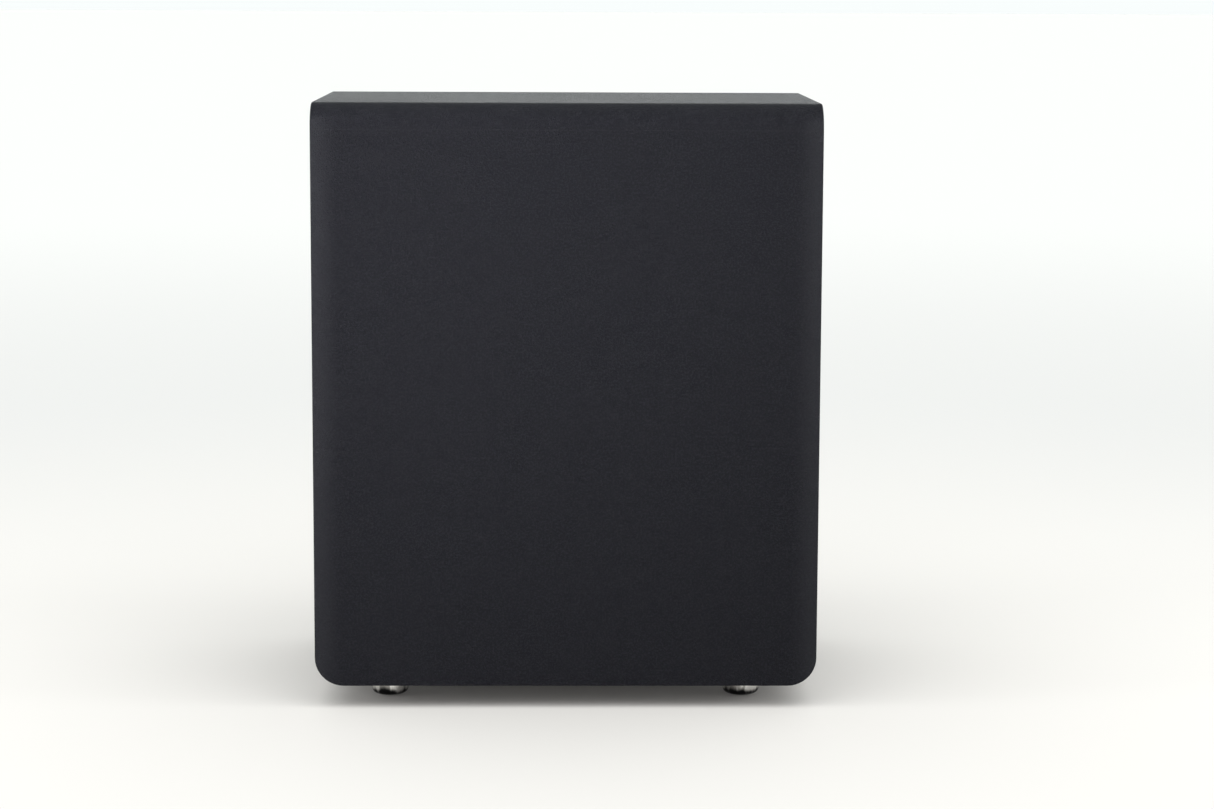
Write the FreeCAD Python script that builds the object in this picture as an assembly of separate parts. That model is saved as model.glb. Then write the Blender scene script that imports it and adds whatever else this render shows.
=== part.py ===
import os
import FreeCAD, Part

os.makedirs("parts", exist_ok=True)

# Axes: the origin is the middle of the footprint on the floor and +Z is up.
# The driver and the port are in the narrow -X face, the amplifier is in the narrow +X face.
# -Y and +Y are the two plain large sides.  All sizes are in millimetres.

# Cabinet
cabinet_width = 350.0
cabinet_depth = 228.0
cabinet_height = 405.0
panel_thickness = 18.0
top_round = 18.0
bottom_round = 20.0
edge_round = 1.2
brace_x = 30.0
brace_thickness = 12.0
brace_rim = 26.0
brace_corner = 12.0
wadding_thickness = 12.0
wadding_margin = 12.0

# Feet
foot_height = 16.0
foot_radius = 13.0
foot_round = 4.0
foot_inset_x = 50.0
foot_inset_y = 46.0
foot_cup_radius = 5.7
foot_pad_height = 3.0
foot_bolt_radius = 3.0
foot_bolt_length = 26.0
insert_radius = 4.5
insert_flange_radius = 9.0

# Driver, with depths measured inwards from the -X face
driver_height = 281.0
flange_radius = 90.5
flange_depth = 6.0
flange_thickness = 3.0
gasket_thickness = 1.0
cutout_radius = 80.5
backing_ring_thickness = 12.0
ledge_depth = 17.0
cone_radius = 60.0
cone_depth = 27.0
cone_thickness = 1.2
surround_width = 14.0
surround_thickness = 1.0
cap_radius = 27.0
cap_rise = 9.0
cap_thickness = 0.9
coil_radius = 18.0
former_thickness = 0.6
winding_thickness = 1.6
winding_length = 18.0
coil_gap = 0.7
spider_depth = 54.0
spider_inner_radius = 22.6
spider_outer_radius = 46.6
spider_waves = 6
spider_thickness = 0.8
top_plate_depth = 68.0
top_plate_thickness = 8.0
plate_radius = 46.0
magnet_radius = 50.0
magnet_thickness = 18.0
back_plate_thickness = 6.0
vent_radius = 5.0
strip_thickness = 1.6
lug_thickness = 0.8
driver_screw_count = 8
driver_screw_circle = 85.5
leg_count = 6

# Guard over the driver
guard_thickness = 1.8
guard_radius = 92.7
guard_rim_width = 6.7
guard_skirt_depth = 7.6
guard_skirt_wall = 1.5
guard_wire = 2.4
guard_ring_radii = (26.0, 38.0, 50.0, 62.0, 74.0)
guard_hub_radius = 15.0
guard_spoke_count = 6

# Port
port_height = 105.0
port_bore = 27.0
port_wall = 2.5
port_flange_radius = 45.0
port_flange_thickness = 3.0
port_flare_depth = 18.0
port_shoulder = 10.0
port_shoulder_depth = 9.0
port_length = 165.0
port_collar_length = 34.0

# Amplifier, with depths measured inwards from the +X face
amp_width = 166.0
amp_height = 276.0
amp_bottom = 60.0
amp_plate_depth = 11.0
amp_plate_thickness = 3.0
amp_lip = 10.0
amp_corner = 8.0
rear_frame_thickness = 12.0
knob_spacing = 76.0
knob_row = 284.0
knob_radius = 12.0
knob_depth = 1.4
pot_radius = 8.5
bushing_radius = 4.5
shaft_radius = 3.0
shaft_reach = 4.0
switch_row = 246.0
switch_spacing = 84.0
lever_size = 3.6
phase_travel = 4.0
mode_travel = 6.0
jack_rows = (243.0, 263.0)
jack_radius = 4.15
light_height = 311.0
light_radius = 2.0
board_depth = 24.0
board_thickness = 1.6
board_half_width = 66.0
board_bottom = 228.0
board_top = 322.0
capacitor_radius = 12.5
capacitor_length = 35.0
transformer_height = 172.0
transformer_radius = 42.0
transformer_bore = 14.0
transformer_length = 34.0
sink_bottom = 128.0
sink_top = 222.0
sink_half_width = 61.0
fin_count = 13
fin_thickness = 2.0
fin_depth = 1.2
inlet_y = -30.0
inlet_height = 95.0
socket_depth = 16.5
drawer_half_width = 11.0
drawer_height = 7.0
drawer_length = 24.0
rocker_y = 38.0
rocker_height = 95.0
rocker_tilt = 7.0
rocker_pivot_depth = 14.5
rocker_half_length = 8.4
rocker_half_width = 6.0
lead_radius = 1.6
lead_y = 12.0
lead_run_height = 374.0
lead_bend = 20.0

# Clearances
running_gap = 0.05
free_gap = 0.3
screw_radius = 2.0
screw_gap = 0.05
screw_head_radius = 3.4
screw_head_height = 2.0

# Heights and faces that follow from the sizes above
half_width = cabinet_width / 2
half_depth = cabinet_depth / 2
body_bottom = foot_height
body_top = foot_height + cabinet_height
inner_x = half_width - panel_thickness
inner_y = half_depth - panel_thickness
inner_bottom = body_bottom + panel_thickness
inner_top = body_top - panel_thickness
rebate_depth = flange_depth + flange_thickness + gasket_thickness
amp_rebate_depth = amp_plate_depth + amp_plate_thickness + gasket_thickness
amp_top = amp_bottom + amp_height
amp_half_width = amp_width / 2
plate_back = amp_plate_depth + amp_plate_thickness
magnet_depth = top_plate_depth + top_plate_thickness
back_plate_depth = magnet_depth + magnet_thickness
coil_outer_radius = coil_radius + former_thickness
winding_radius = coil_outer_radius + winding_thickness
board_back = board_depth + board_thickness
inlet_front = amp_plate_depth - 2.6
drawer_bottom = inlet_height - 13.6

up = FreeCAD.Vector(0, 0, 1)
inward_from_front = FreeCAD.Vector(1, 0, 0)
inward_from_rear = FreeCAD.Vector(-1, 0, 0)


def save(shape, node):
    shape.exportStep("parts/" + node + ".step")


def point(x, y, z):
    return FreeCAD.Vector(x, y, z)


def block(x0, x1, y0, y1, z0, z1):
    return Part.makeBox(x1 - x0, y1 - y0, z1 - z0, point(x0, y0, z0))


def join(solids):
    return solids[0].fuse(solids[1:]).removeSplitter()


def cut(shape, tools):
    return shape.cut(tools)


def front_point(depth, y, z):
    """A place at a depth behind the -X face."""
    return point(-half_width + depth, y, z)


def rear_point(depth, y, z):
    """A place at a depth behind the +X face."""
    return point(half_width - depth, y, z)


def rear_block(depth0, depth1, y0, y1, z0, z1):
    return block(half_width - depth1, half_width - depth0, y0, y1, z0, z1)


def front_rod(depth0, depth1, y, z, radius):
    start = front_point(depth0, y, z)
    return Part.makeCylinder(radius, depth1 - depth0, start, inward_from_front)


def rear_rod(depth0, depth1, y, z, radius):
    start = rear_point(depth0, y, z)
    return Part.makeCylinder(radius, depth1 - depth0, start, inward_from_rear)


def turned(outline, centre, axis):
    """Spin a closed outline of (along, radius) steps.  A step of four numbers is an arc."""
    outward = point(1, 0, 0) if abs(axis.z) > 0.5 else up

    def place(along, radius):
        return centre + axis * along + outward * radius

    edges = []
    last = place(outline[0][0], outline[0][1])
    first = last
    for step in outline[1:]:
        end = place(step[-2], step[-1])
        if len(step) == 4:
            edges.append(Part.Arc(last, place(step[0], step[1]), end).toShape())
        else:
            edges.append(Part.LineSegment(last, end).toShape())
        last = end
    if (last - first).Length > 1e-6:
        edges.append(Part.LineSegment(last, first).toShape())
    return Part.Face(Part.Wire(edges)).revolve(centre, axis, 360)


def front_turned(outline, z):
    return turned(outline, front_point(0, 0, z), inward_from_front)


def rear_turned(outline, y, z):
    return turned(outline, rear_point(0, y, z), inward_from_rear)


def around(shape, count, centre, first_angle=0.0):
    copies = []
    for index in range(count):
        copy = shape.copy()
        copy.rotate(centre, point(1, 0, 0), first_angle + 360.0 * index / count)
        copies.append(copy)
    return copies


def rounded_slab(depth0, depth1, y0, y1, z0, z1, radius):
    """A plate across X, behind the +X face, with rounded corners."""
    slab = rear_block(depth0, depth1, y0, y1, z0, z1)
    along_x = [e for e in slab.Edges if abs(e.tangentAt(e.FirstParameter).x) > 0.9]
    return slab.makeFillet(radius, along_x)


# Cabinet


def envelope():
    """The outside of the finished cabinet, which every panel is trimmed to."""
    body = block(-half_width, half_width, -half_depth, half_depth, body_bottom, body_top)

    def along(direction, high):
        chosen = []
        for edge in body.Edges:
            tangent = edge.tangentAt(edge.FirstParameter)
            is_high = edge.CenterOfMass.z > (body_bottom + body_top) / 2
            if abs(tangent.dot(direction)) > 0.9 and is_high == high:
                chosen.append(edge)
        return chosen

    body = body.makeFillet(top_round, along(point(1, 0, 0), True))
    body = body.makeFillet(bottom_round, along(point(0, 1, 0), False))
    seam = []
    for edge in body.Edges:
        middle = edge.valueAt((edge.FirstParameter + edge.LastParameter) / 2)
        on_belt = abs(abs(middle.x) - half_width) < 0.01 or middle.z < body_bottom + bottom_round - 0.01
        on_wrap = abs(abs(middle.y) - half_depth) < 0.01 or middle.z > body_top - top_round + 0.01
        if on_belt and on_wrap:
            seam.append(edge)
    return body.makeFillet(edge_round, seam)


def foot_places():
    x = half_width - foot_inset_x
    y = half_depth - foot_inset_y
    return [(-x, -y), (x, -y), (-x, y), (x, y)]


def side_panel(outside, sign):
    low = min(sign * inner_y, sign * half_depth)
    box = block(-half_width, half_width, low, low + panel_thickness, body_bottom, inner_top)
    return outside.common(box)


def top_panel(outside):
    return outside.common(block(-half_width, half_width, -half_depth, half_depth, inner_top, body_top))


def bottom_panel(outside):
    panel = outside.common(block(-half_width, half_width, -inner_y, inner_y, body_bottom, inner_bottom))
    holes = [
        Part.makeCylinder(insert_radius, panel_thickness, point(x, y, body_bottom))
        for x, y in foot_places()
    ]
    return cut(panel, holes)


def driver_screw_places():
    places = []
    for index in range(driver_screw_count):
        turn = FreeCAD.Rotation(point(1, 0, 0), 360.0 * (index + 0.5) / driver_screw_count)
        places.append(turn.multVec(point(0, 0, driver_screw_circle)) + point(0, 0, driver_height))
    return places


def driver_screw_holes(depth0, depth1, radius):
    return [front_rod(depth0, depth1, p.y, p.z, radius) for p in driver_screw_places()]


def front_baffle(outside):
    panel = outside.common(block(-half_width, -inner_x, -inner_y, inner_y, inner_bottom, inner_top))
    tools = [
        front_rod(-1, rebate_depth, 0, driver_height, guard_radius + free_gap),
        front_rod(0, panel_thickness + 1, 0, driver_height, cutout_radius),
        front_rod(-1, port_flange_thickness, 0, port_height, port_flange_radius + running_gap),
        front_rod(
            0, port_shoulder_depth + running_gap, 0, port_height, port_bore + port_shoulder + running_gap
        ),
        front_rod(0, panel_thickness + 1, 0, port_height, port_bore + 2 * port_wall + running_gap),
    ]
    tools += driver_screw_holes(rebate_depth - 1, panel_thickness + 1, screw_radius + screw_gap)
    return cut(panel, tools)


def rear_panel(outside):
    panel = outside.common(block(inner_x, half_width, -inner_y, inner_y, inner_bottom, inner_top))
    half = amp_half_width
    rebate = rounded_slab(-1, amp_rebate_depth, -half, half, amp_bottom, amp_top, amp_corner)
    window = rounded_slab(
        0,
        panel_thickness + 1,
        amp_lip - amp_half_width,
        amp_half_width - amp_lip,
        amp_bottom + amp_lip,
        amp_top - amp_lip,
        amp_corner,
    )
    holes = plate_screw_holes(amp_rebate_depth - 1, panel_thickness + 1, screw_gap)
    return cut(panel, [rebate, window] + holes)


def window_brace():
    x0 = brace_x - brace_thickness / 2
    x1 = brace_x + brace_thickness / 2
    sheet = block(x0, x1, -inner_y, inner_y, inner_bottom, inner_top)
    window = block(
        x0 - 1,
        x1 + 1,
        brace_rim - inner_y,
        inner_y - brace_rim,
        inner_bottom + brace_rim,
        lead_run_height + 10,
    )
    along_x = [e for e in window.Edges if abs(e.tangentAt(e.FirstParameter).x) > 0.9]
    return cut(sheet, [window.makeFillet(brace_corner, along_x)])


def driver_backing_ring():
    outer = inner_y - 2
    ring = front_turned(
        [
            (panel_thickness, cutout_radius + 1),
            (panel_thickness + backing_ring_thickness, cutout_radius + 1),
            (panel_thickness + backing_ring_thickness, outer),
            (panel_thickness, outer),
        ],
        driver_height,
    )
    return cut(ring, driver_screw_holes(panel_thickness - 1, panel_thickness + backing_ring_thickness + 1,
                                        screw_radius + screw_gap))


def rear_batten_frame():
    depth1 = panel_thickness + rear_frame_thickness
    y = inner_y - 3
    frame = rear_block(panel_thickness, depth1, -y, y, amp_bottom - 8, amp_top + 8)
    window = rounded_slab(
        panel_thickness - 1,
        depth1 + 1,
        amp_lip - amp_half_width,
        amp_half_width - amp_lip,
        amp_bottom + amp_lip,
        amp_top - amp_lip,
        amp_corner,
    )
    return cut(frame, [window] + plate_screw_holes(panel_thickness - 1, depth1 + 1, screw_gap))


def wadding():
    """Soft pads on the two large sides, one each side of the brace."""
    front_end = -inner_x + backing_ring_thickness + 5
    rear_end = inner_x - rear_frame_thickness - 5
    spans = [
        (front_end, brace_x - brace_thickness / 2 - 2),
        (brace_x + brace_thickness / 2 + 2, rear_end),
    ]
    pads = []
    for low in (-inner_y, inner_y - wadding_thickness):
        for x0, x1 in spans:
            pads.append(block(x0, x1, low, low + wadding_thickness, inner_bottom + wadding_margin,
                              inner_top - wadding_margin))
    return Part.makeCompound(pads)


# Feet


def at_feet(shape):
    copies = []
    for x, y in foot_places():
        copy = shape.copy()
        copy.translate(point(x, y, 0))
        copies.append(copy)
    return Part.makeCompound(copies)


def foot_shells():
    lip = 0.8
    diagonal = foot_round * (1 - 0.5 ** 0.5)
    head_top = foot_pad_height + 3.2
    outline = [
        (lip, foot_cup_radius),
        (lip, foot_radius - foot_round),
        (lip + diagonal, foot_radius - diagonal, lip + foot_round, foot_radius),
        (foot_height, foot_radius),
        (foot_height, foot_bolt_radius + running_gap),
        (head_top, foot_bolt_radius + running_gap),
        (head_top, foot_cup_radius),
    ]
    return at_feet(turned(outline, point(0, 0, 0), up))


def foot_pads():
    pad = Part.makeCylinder(foot_cup_radius - running_gap, foot_pad_height, point(0, 0, 0))
    rim = [e for e in pad.Edges if e.CenterOfMass.z < 0.1 and e.Length > 20]
    return at_feet(pad.makeFillet(0.6, rim))


def foot_bolts():
    head = Part.makeCylinder(foot_cup_radius - 0.4, 3.2, point(0, 0, foot_pad_height))
    socket = Part.makeBox(3.6, 3.6, 1.8, point(-1.8, -1.8, foot_pad_height))
    shank = Part.makeCylinder(foot_bolt_radius, foot_bolt_length, point(0, 0, foot_pad_height + 3.2))
    return at_feet(cut(join([head, shank]), [socket]))


def foot_inserts():
    outline = [
        (inner_bottom - 12, foot_bolt_radius + running_gap),
        (inner_bottom - 12, insert_radius),
        (inner_bottom, insert_radius),
        (inner_bottom, insert_flange_radius),
        (inner_bottom + 1.4, insert_flange_radius),
        (inner_bottom + 1.4, foot_bolt_radius + running_gap),
    ]
    return at_feet(turned(outline, point(0, 0, 0), up))


# Driver


def driver_frame():
    flange_back = flange_depth + flange_thickness
    wall = cutout_radius - 0.5
    outline = [
        (flange_depth, wall - 2),
        (flange_depth, flange_radius),
        (flange_back, flange_radius),
        (flange_back, wall),
        (ledge_depth + 2.5, wall),
        (spider_depth + 3, 58.5),
        (spider_depth + 3, 49.5),
        (top_plate_depth, plate_radius),
        (top_plate_depth, winding_radius + 3.8),
        (top_plate_depth - 3, winding_radius + 3.8),
        (top_plate_depth - 3, plate_radius - 2.8),
        (spider_depth + 2.6, spider_outer_radius + 0.2),
        (spider_depth, spider_outer_radius + 0.2),
        (spider_depth, 56),
        (ledge_depth + 2.5, wall - 3.2),
        (ledge_depth + 2.5, cone_radius + surround_width - 1),
        (ledge_depth, cone_radius + surround_width - 1),
        (ledge_depth, wall - 2),
    ]
    bowl = front_turned(outline, driver_height)
    window = block(
        -half_width + ledge_depth + 7,
        -half_width + spider_depth - 3,
        -25,
        25,
        driver_height + spider_outer_radius - 2,
        driver_height + 95,
    )
    windows = around(window, leg_count, front_point(0, 0, driver_height), 180.0 / leg_count)
    screw_holes = driver_screw_holes(flange_depth - 1, flange_back + 1, screw_radius + 0.3)
    return cut(bowl, windows + screw_holes)


def driver_gasket():
    start = flange_depth + flange_thickness
    outline = [
        (start, cutout_radius),
        (start, flange_radius - 0.5),
        (rebate_depth, flange_radius - 0.5),
        (rebate_depth, cutout_radius),
    ]
    ring = front_turned(outline, driver_height)
    return cut(ring, driver_screw_holes(start - 1, rebate_depth + 1, screw_radius + screw_gap))


def pan_screw(start, axis, length):
    """A pan-head screw whose head bears on start and whose shank runs along axis."""
    head = Part.makeCylinder(screw_head_radius, screw_head_height, start - axis * screw_head_height, axis)
    rim = []
    for edge in head.Edges:
        if (edge.CenterOfMass - start).Length > screw_head_height - 0.1 and edge.Length > 15:
            rim.append(edge)
    head = head.makeFillet(0.9, rim)
    shank = Part.makeCylinder(screw_radius, length, start, axis)
    slot = Part.makeBox(1.0, 4.2, 1.0, point(-0.5, -2.1, -0.5))
    cross = join([slot, Part.makeBox(1.0, 1.0, 4.2, point(-0.5, -0.5, -2.1))])
    cross.translate(start - axis * screw_head_height)
    return cut(join([head, shank]), [cross])


def driver_screws():
    screws = []
    for place in driver_screw_places():
        start = front_point(flange_depth, place.y, place.z)
        screws.append(pan_screw(start, inward_from_front, 18.0))
    return Part.makeCompound(screws)


def surround():
    """A half roll between the cone's edge and the frame's ledge, with a flat lip each side."""
    inner = cone_radius
    outer = cone_radius + surround_width
    middle = (inner + outer) / 2
    roll = surround_width / 2
    front = ledge_depth - surround_thickness
    outline = [
        (ledge_depth, inner - 4),
        (front, inner - 4),
        (front, inner - surround_thickness / 2),
        (front - roll - surround_thickness / 2, middle, front, outer + surround_thickness / 2),
        (front, outer + 3.5),
        (ledge_depth, outer + 3.5),
        (ledge_depth, outer - surround_thickness / 2),
        (ledge_depth - roll + surround_thickness / 2, middle, ledge_depth, inner + surround_thickness / 2),
    ]
    return front_turned(outline, driver_height)


def cone():
    neck = ledge_depth + cone_depth
    outline = [
        (ledge_depth, cone_radius - 4.2),
        (ledge_depth, cone_radius - 0.2),
        (ledge_depth + cone_thickness, cone_radius - 0.2),
        (ledge_depth + cone_thickness, cone_radius - 4.2),
        (neck + 0.6, coil_outer_radius + cone_thickness),
        (neck + 4, coil_outer_radius + cone_thickness),
        (neck + 4, coil_outer_radius),
        (neck - 1.2, coil_outer_radius),
    ]
    return front_turned(outline, driver_height)


def cone_front_depth(radius):
    """Depth of the cone's front between its flat lip and its neck."""
    fall = (cone_radius - 4.2 - radius) / (cone_radius - 4.2 - coil_outer_radius)
    return ledge_depth + (cone_depth - 1.2) * fall


def dust_cap():
    """A thin dome that bulges outwards over the cone's neck."""
    rim = cone_front_depth(cap_radius)
    ball = (cap_radius ** 2 + cap_rise ** 2) / (2 * cap_rise)
    heart = rim - cap_rise + ball

    def dome_step(radius, end_radius):
        middle = end_radius / 2
        return (heart - (radius ** 2 - middle ** 2) ** 0.5, middle)

    inner_ball = ball - cap_thickness
    inner_edge = cap_radius - cap_thickness
    inner_rim = heart - (inner_ball ** 2 - inner_edge ** 2) ** 0.5
    outline = [
        (rim, cap_radius),
        dome_step(ball, cap_radius) + (heart - ball, 0.0),
        (heart - inner_ball, 0.0),
        dome_step(inner_ball, inner_edge) + (inner_rim, inner_edge),
    ]
    return front_turned(outline, driver_height)


def coil_former():
    start = ledge_depth + cone_depth - 1.2
    tube = [
        (start, coil_radius),
        (start, coil_outer_radius),
        (magnet_depth + 6, coil_outer_radius),
        (magnet_depth + 6, coil_radius),
    ]
    return front_turned(tube, driver_height)


def coil_winding():
    middle = top_plate_depth + top_plate_thickness / 2
    wire = [
        (middle - winding_length / 2, coil_outer_radius),
        (middle - winding_length / 2, winding_radius),
        (middle + winding_length / 2, winding_radius),
        (middle + winding_length / 2, coil_outer_radius),
    ]
    return front_turned(wire, driver_height)


def spider():
    """A corrugated cloth disc from the coil former to the frame's inner ledge."""
    front = spider_depth - spider_thickness
    pitch = (spider_outer_radius - spider_inner_radius) / spider_waves
    rise = pitch * 0.42
    outward = [(front, coil_outer_radius), (front, spider_inner_radius)]
    radius = spider_inner_radius
    for index in range(spider_waves):
        side = -1 if index % 2 == 0 else 1
        outward.append((front + side * rise, radius + pitch / 2, front, radius + pitch))
        radius += pitch
    outward += [(front, 54.0), (spider_depth, 54.0), (spider_depth, spider_outer_radius)]
    back = []
    for index in reversed(range(spider_waves)):
        side = -1 if index % 2 == 0 else 1
        back.append((spider_depth + side * rise, radius - pitch / 2, spider_depth, radius - pitch))
        radius -= pitch
    return front_turned(outward + back + [(spider_depth, coil_outer_radius)], driver_height)


def top_plate():
    bore = winding_radius + coil_gap
    outline = [(top_plate_depth, bore), (top_plate_depth, plate_radius)]
    outline += [(magnet_depth, plate_radius), (magnet_depth, bore)]
    return front_turned(outline, driver_height)


def magnet():
    outline = [(magnet_depth, 26.0), (magnet_depth, magnet_radius)]
    outline += [(back_plate_depth, magnet_radius), (back_plate_depth, 26.0)]
    ring = front_turned(outline, driver_height)
    rims = [e for e in ring.Edges if e.Length > 6.2 * magnet_radius]
    return ring.makeFillet(1.0, rims)


def pole_yoke():
    pole = coil_radius - coil_gap
    back = back_plate_depth + back_plate_thickness
    outline = [
        (top_plate_depth - 2, vent_radius),
        (top_plate_depth - 2, pole),
        (back_plate_depth, pole),
        (back_plate_depth, plate_radius),
        (back - 2, plate_radius),
        (back, plate_radius - 2),
        (back, vent_radius + 2),
        (back - 2, vent_radius),
    ]
    return front_turned(outline, driver_height)


def terminal_strip():
    """A small board behind the frame's inner ledge, with two solder lugs on its back."""
    front = spider_depth + 3
    x = -half_width + front
    half = lead_y + 4
    pieces = [block(x, x + strip_thickness, -half, half, driver_height + 51, driver_height + 73)]
    for y in (-lead_y, lead_y):
        pieces.append(block(x + strip_thickness - 0.4, x + strip_thickness + lug_thickness, y - 2.2, y + 2.2,
                            driver_height + 58, driver_height + 72))
    return join(pieces)


def swept(path_edges, radius):
    """A round lead along a tangent path."""
    path = Part.Wire(path_edges)
    first = path_edges[0]
    start = first.valueAt(first.FirstParameter)
    circle = Part.makeCircle(radius, start, first.tangentAt(first.FirstParameter))
    return path.makePipeShell([Part.Wire([circle])], True, True)


def line(a, b):
    return Part.LineSegment(a, b).toShape()


def arc(a, b, c):
    return Part.Arc(a, b, c).toShape()


def tinsel_leads():
    """Two limp braided leads from the terminal strip to the back of the cone."""
    leads = []
    strip_front = spider_depth + 3
    outer = 64.0
    bend = 14.0
    end_bend = 6.0
    half_bend = 0.5 ** 0.5
    end_radius = 40.0
    cone_back = cone_front_depth(end_radius) + cone_thickness * 1.35
    mid_depth = cone_back + end_bend
    for y in (-lead_y, lead_y):

        def spot(depth, radius):
            return front_point(depth, y, driver_height + radius)

        turn_depth = mid_depth + bend
        edges = [
            line(spot(strip_front, outer), spot(turn_depth, outer)),
            arc(
                spot(turn_depth, outer),
                spot(turn_depth - bend * half_bend, outer - bend + bend * half_bend),
                spot(mid_depth, outer - bend),
            ),
            line(spot(mid_depth, outer - bend), spot(mid_depth, end_radius + end_bend)),
            arc(
                spot(mid_depth, end_radius + end_bend),
                spot(mid_depth - end_bend * (1 - half_bend), end_radius + end_bend * (1 - half_bend)),
                spot(cone_back, end_radius),
            ),
        ]
        leads.append(swept(edges, 0.8))
    return Part.makeCompound(leads)


def guard():
    """A pressed steel guard: rim, skirt, rings and spokes in one piece."""
    z = driver_height
    inner = guard_radius - guard_rim_width
    skirt_inner = guard_radius - guard_skirt_wall
    rim = [
        (0.9, guard_radius),
        (0.25, guard_radius - 0.25, 0.0, guard_radius - 0.9),
        (0.0, inner),
        (guard_thickness, inner),
        (guard_thickness, skirt_inner),
        (guard_skirt_depth, skirt_inner),
        (guard_skirt_depth, guard_radius),
    ]
    pieces = [front_turned(rim, z), front_rod(0, guard_thickness, 0, z, guard_hub_radius)]
    for radius in guard_ring_radii:
        low = radius - guard_wire / 2
        high = radius + guard_wire / 2
        wire = [(0.0, low), (0.0, high), (guard_thickness, high), (guard_thickness, low)]
        pieces.append(front_turned(wire, z))
    spoke = block(-half_width, -half_width + guard_thickness, -guard_wire * 0.7, guard_wire * 0.7,
                  z + guard_hub_radius - 1, z + inner + 1)
    pieces += around(spoke, guard_spoke_count, front_point(0, 0, z))
    return join(pieces)


# Port


def port_flare():
    """The outer mouth: a flush flange, a rounded throat, a shoulder and a collar over the tube."""
    collar = port_bore + 2 * port_wall
    shoulder = port_bore + port_shoulder
    throat = port_flange_radius - 3
    spread = throat - port_bore
    slant = 0.5 ** 0.5
    outline = [
        (0.6, port_flange_radius),
        (0.0, port_flange_radius - 0.6),
        (0.0, throat),
        (
            port_flare_depth - port_flare_depth * slant,
            port_bore + spread - spread * slant,
            port_flare_depth,
            port_bore,
        ),
        (port_flare_depth + 1, port_bore),
        (port_flare_depth + 1, port_bore + port_wall + running_gap),
        (port_collar_length, port_bore + port_wall + running_gap),
        (port_collar_length, collar),
        (port_shoulder_depth, collar),
        (port_shoulder_depth, shoulder),
        (port_flange_thickness, shoulder),
        (port_flange_thickness, port_flange_radius),
    ]
    return front_turned(outline, port_height)


def port_tube():
    """The tube, with the flared inner mouth moulded on its end."""
    start = port_flare_depth + 1
    flare = 11.0
    slant = 0.5 ** 0.5
    outer = port_bore + port_wall
    outline = [
        (start, port_bore),
        (start, outer),
        (port_length - flare, outer),
        (
            port_length - port_wall - flare * (1 - slant),
            outer + flare * (1 - slant),
            port_length - port_wall,
            outer + flare,
        ),
        (port_length, outer + flare),
        (port_length, port_bore + flare),
        (
            port_length - flare * (1 - slant),
            port_bore + flare * (1 - slant),
            port_length - flare,
            port_bore,
        ),
    ]
    return front_turned(outline, port_height)


# Amplifier


def plate_screw_places():
    y = amp_half_width - amp_lip / 2
    low = amp_bottom + amp_lip / 2
    high = amp_top - amp_lip / 2
    places = []
    for index in range(5):
        z = low + (high - low) * index / 4
        places += [(-y, z), (y, z)]
    return places


def plate_screw_holes(depth0, depth1, gap):
    return [rear_rod(depth0, depth1, y, z, screw_radius + gap) for y, z in plate_screw_places()]


def rear_ring(depth0, depth1, y, z, outer, inner):
    outline = [(depth0, inner), (depth0, outer), (depth1, outer), (depth1, inner)]
    return rear_turned(outline, y, z)


def switch_slot(travel):
    return travel + lever_size + 1.0


def amp_plate():
    y = amp_half_width - free_gap
    plate = rounded_slab(
        amp_plate_depth, plate_back, -y, y, amp_bottom + free_gap, amp_top - free_gap, amp_corner - free_gap
    )
    start = amp_plate_depth - 1
    end = plate_back + 1
    tools = plate_screw_holes(start, end, free_gap)
    for side in (-1, 1):
        tools.append(rear_rod(start, end, side * knob_spacing / 2, knob_row, bushing_radius + running_gap))
    for y, travel in switch_layout():
        half = switch_slot(travel) / 2
        tools.append(rear_block(start, end, y - half, y + half, switch_row - 2.3, switch_row + 2.3))
    for z in jack_rows:
        tools.append(rear_rod(start, end, 0, z, jack_radius + 0.8))
    tools.append(rear_rod(start, end, 0, light_height, light_radius + running_gap))
    z = inlet_height
    tools.append(rear_block(start, end, inlet_y - 15.2, inlet_y + 15.2, z - 16.2, z + 14.2))
    z = rocker_height
    tools.append(rear_block(start, end, rocker_y - 8.2, rocker_y + 8.2, z - 11.2, z + 11.2))
    return cut(plate, tools)


def amp_gasket():
    y = amp_half_width - 0.5
    low = amp_bottom + 0.5
    high = amp_top - 0.5
    outer = rounded_slab(plate_back, amp_rebate_depth, -y, y, low, high, amp_corner - 0.5)
    inner = rounded_slab(
        plate_back - 1,
        amp_rebate_depth + 1,
        amp_lip - amp_half_width,
        amp_half_width - amp_lip,
        amp_bottom + amp_lip,
        amp_top - amp_lip,
        amp_corner,
    )
    return cut(outer, [inner] + plate_screw_holes(plate_back - 1, amp_rebate_depth + 1, screw_gap))


def amp_screws():
    return Part.makeCompound([
        pan_screw(rear_point(amp_plate_depth, y, z), inward_from_rear, 16.0) for y, z in plate_screw_places()
    ])


def knob(side):
    """A knob with its shaft."""
    y = side * knob_spacing / 2
    outline = [
        (knob_depth, 0.0),
        (knob_depth, knob_radius - 2.2),
        (knob_depth + 0.35, knob_radius - 1.3, knob_depth + 1.2, knob_radius - 0.9),
        (amp_plate_depth - 0.9, knob_radius),
        (amp_plate_depth - 0.4, knob_radius),
        (amp_plate_depth - 0.4, 8.6),
        (5.6, 8.6),
        (5.6, shaft_radius),
        (plate_back + shaft_reach, shaft_radius),
        (plate_back + shaft_reach, 0.0),
    ]
    body = rear_turned(outline, y, knob_row)
    mark = rear_block(knob_depth - 1, knob_depth + 0.5, y - 0.6, y + 0.6, knob_row + 4.5, knob_row + 14)
    return cut(body, [mark])


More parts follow.
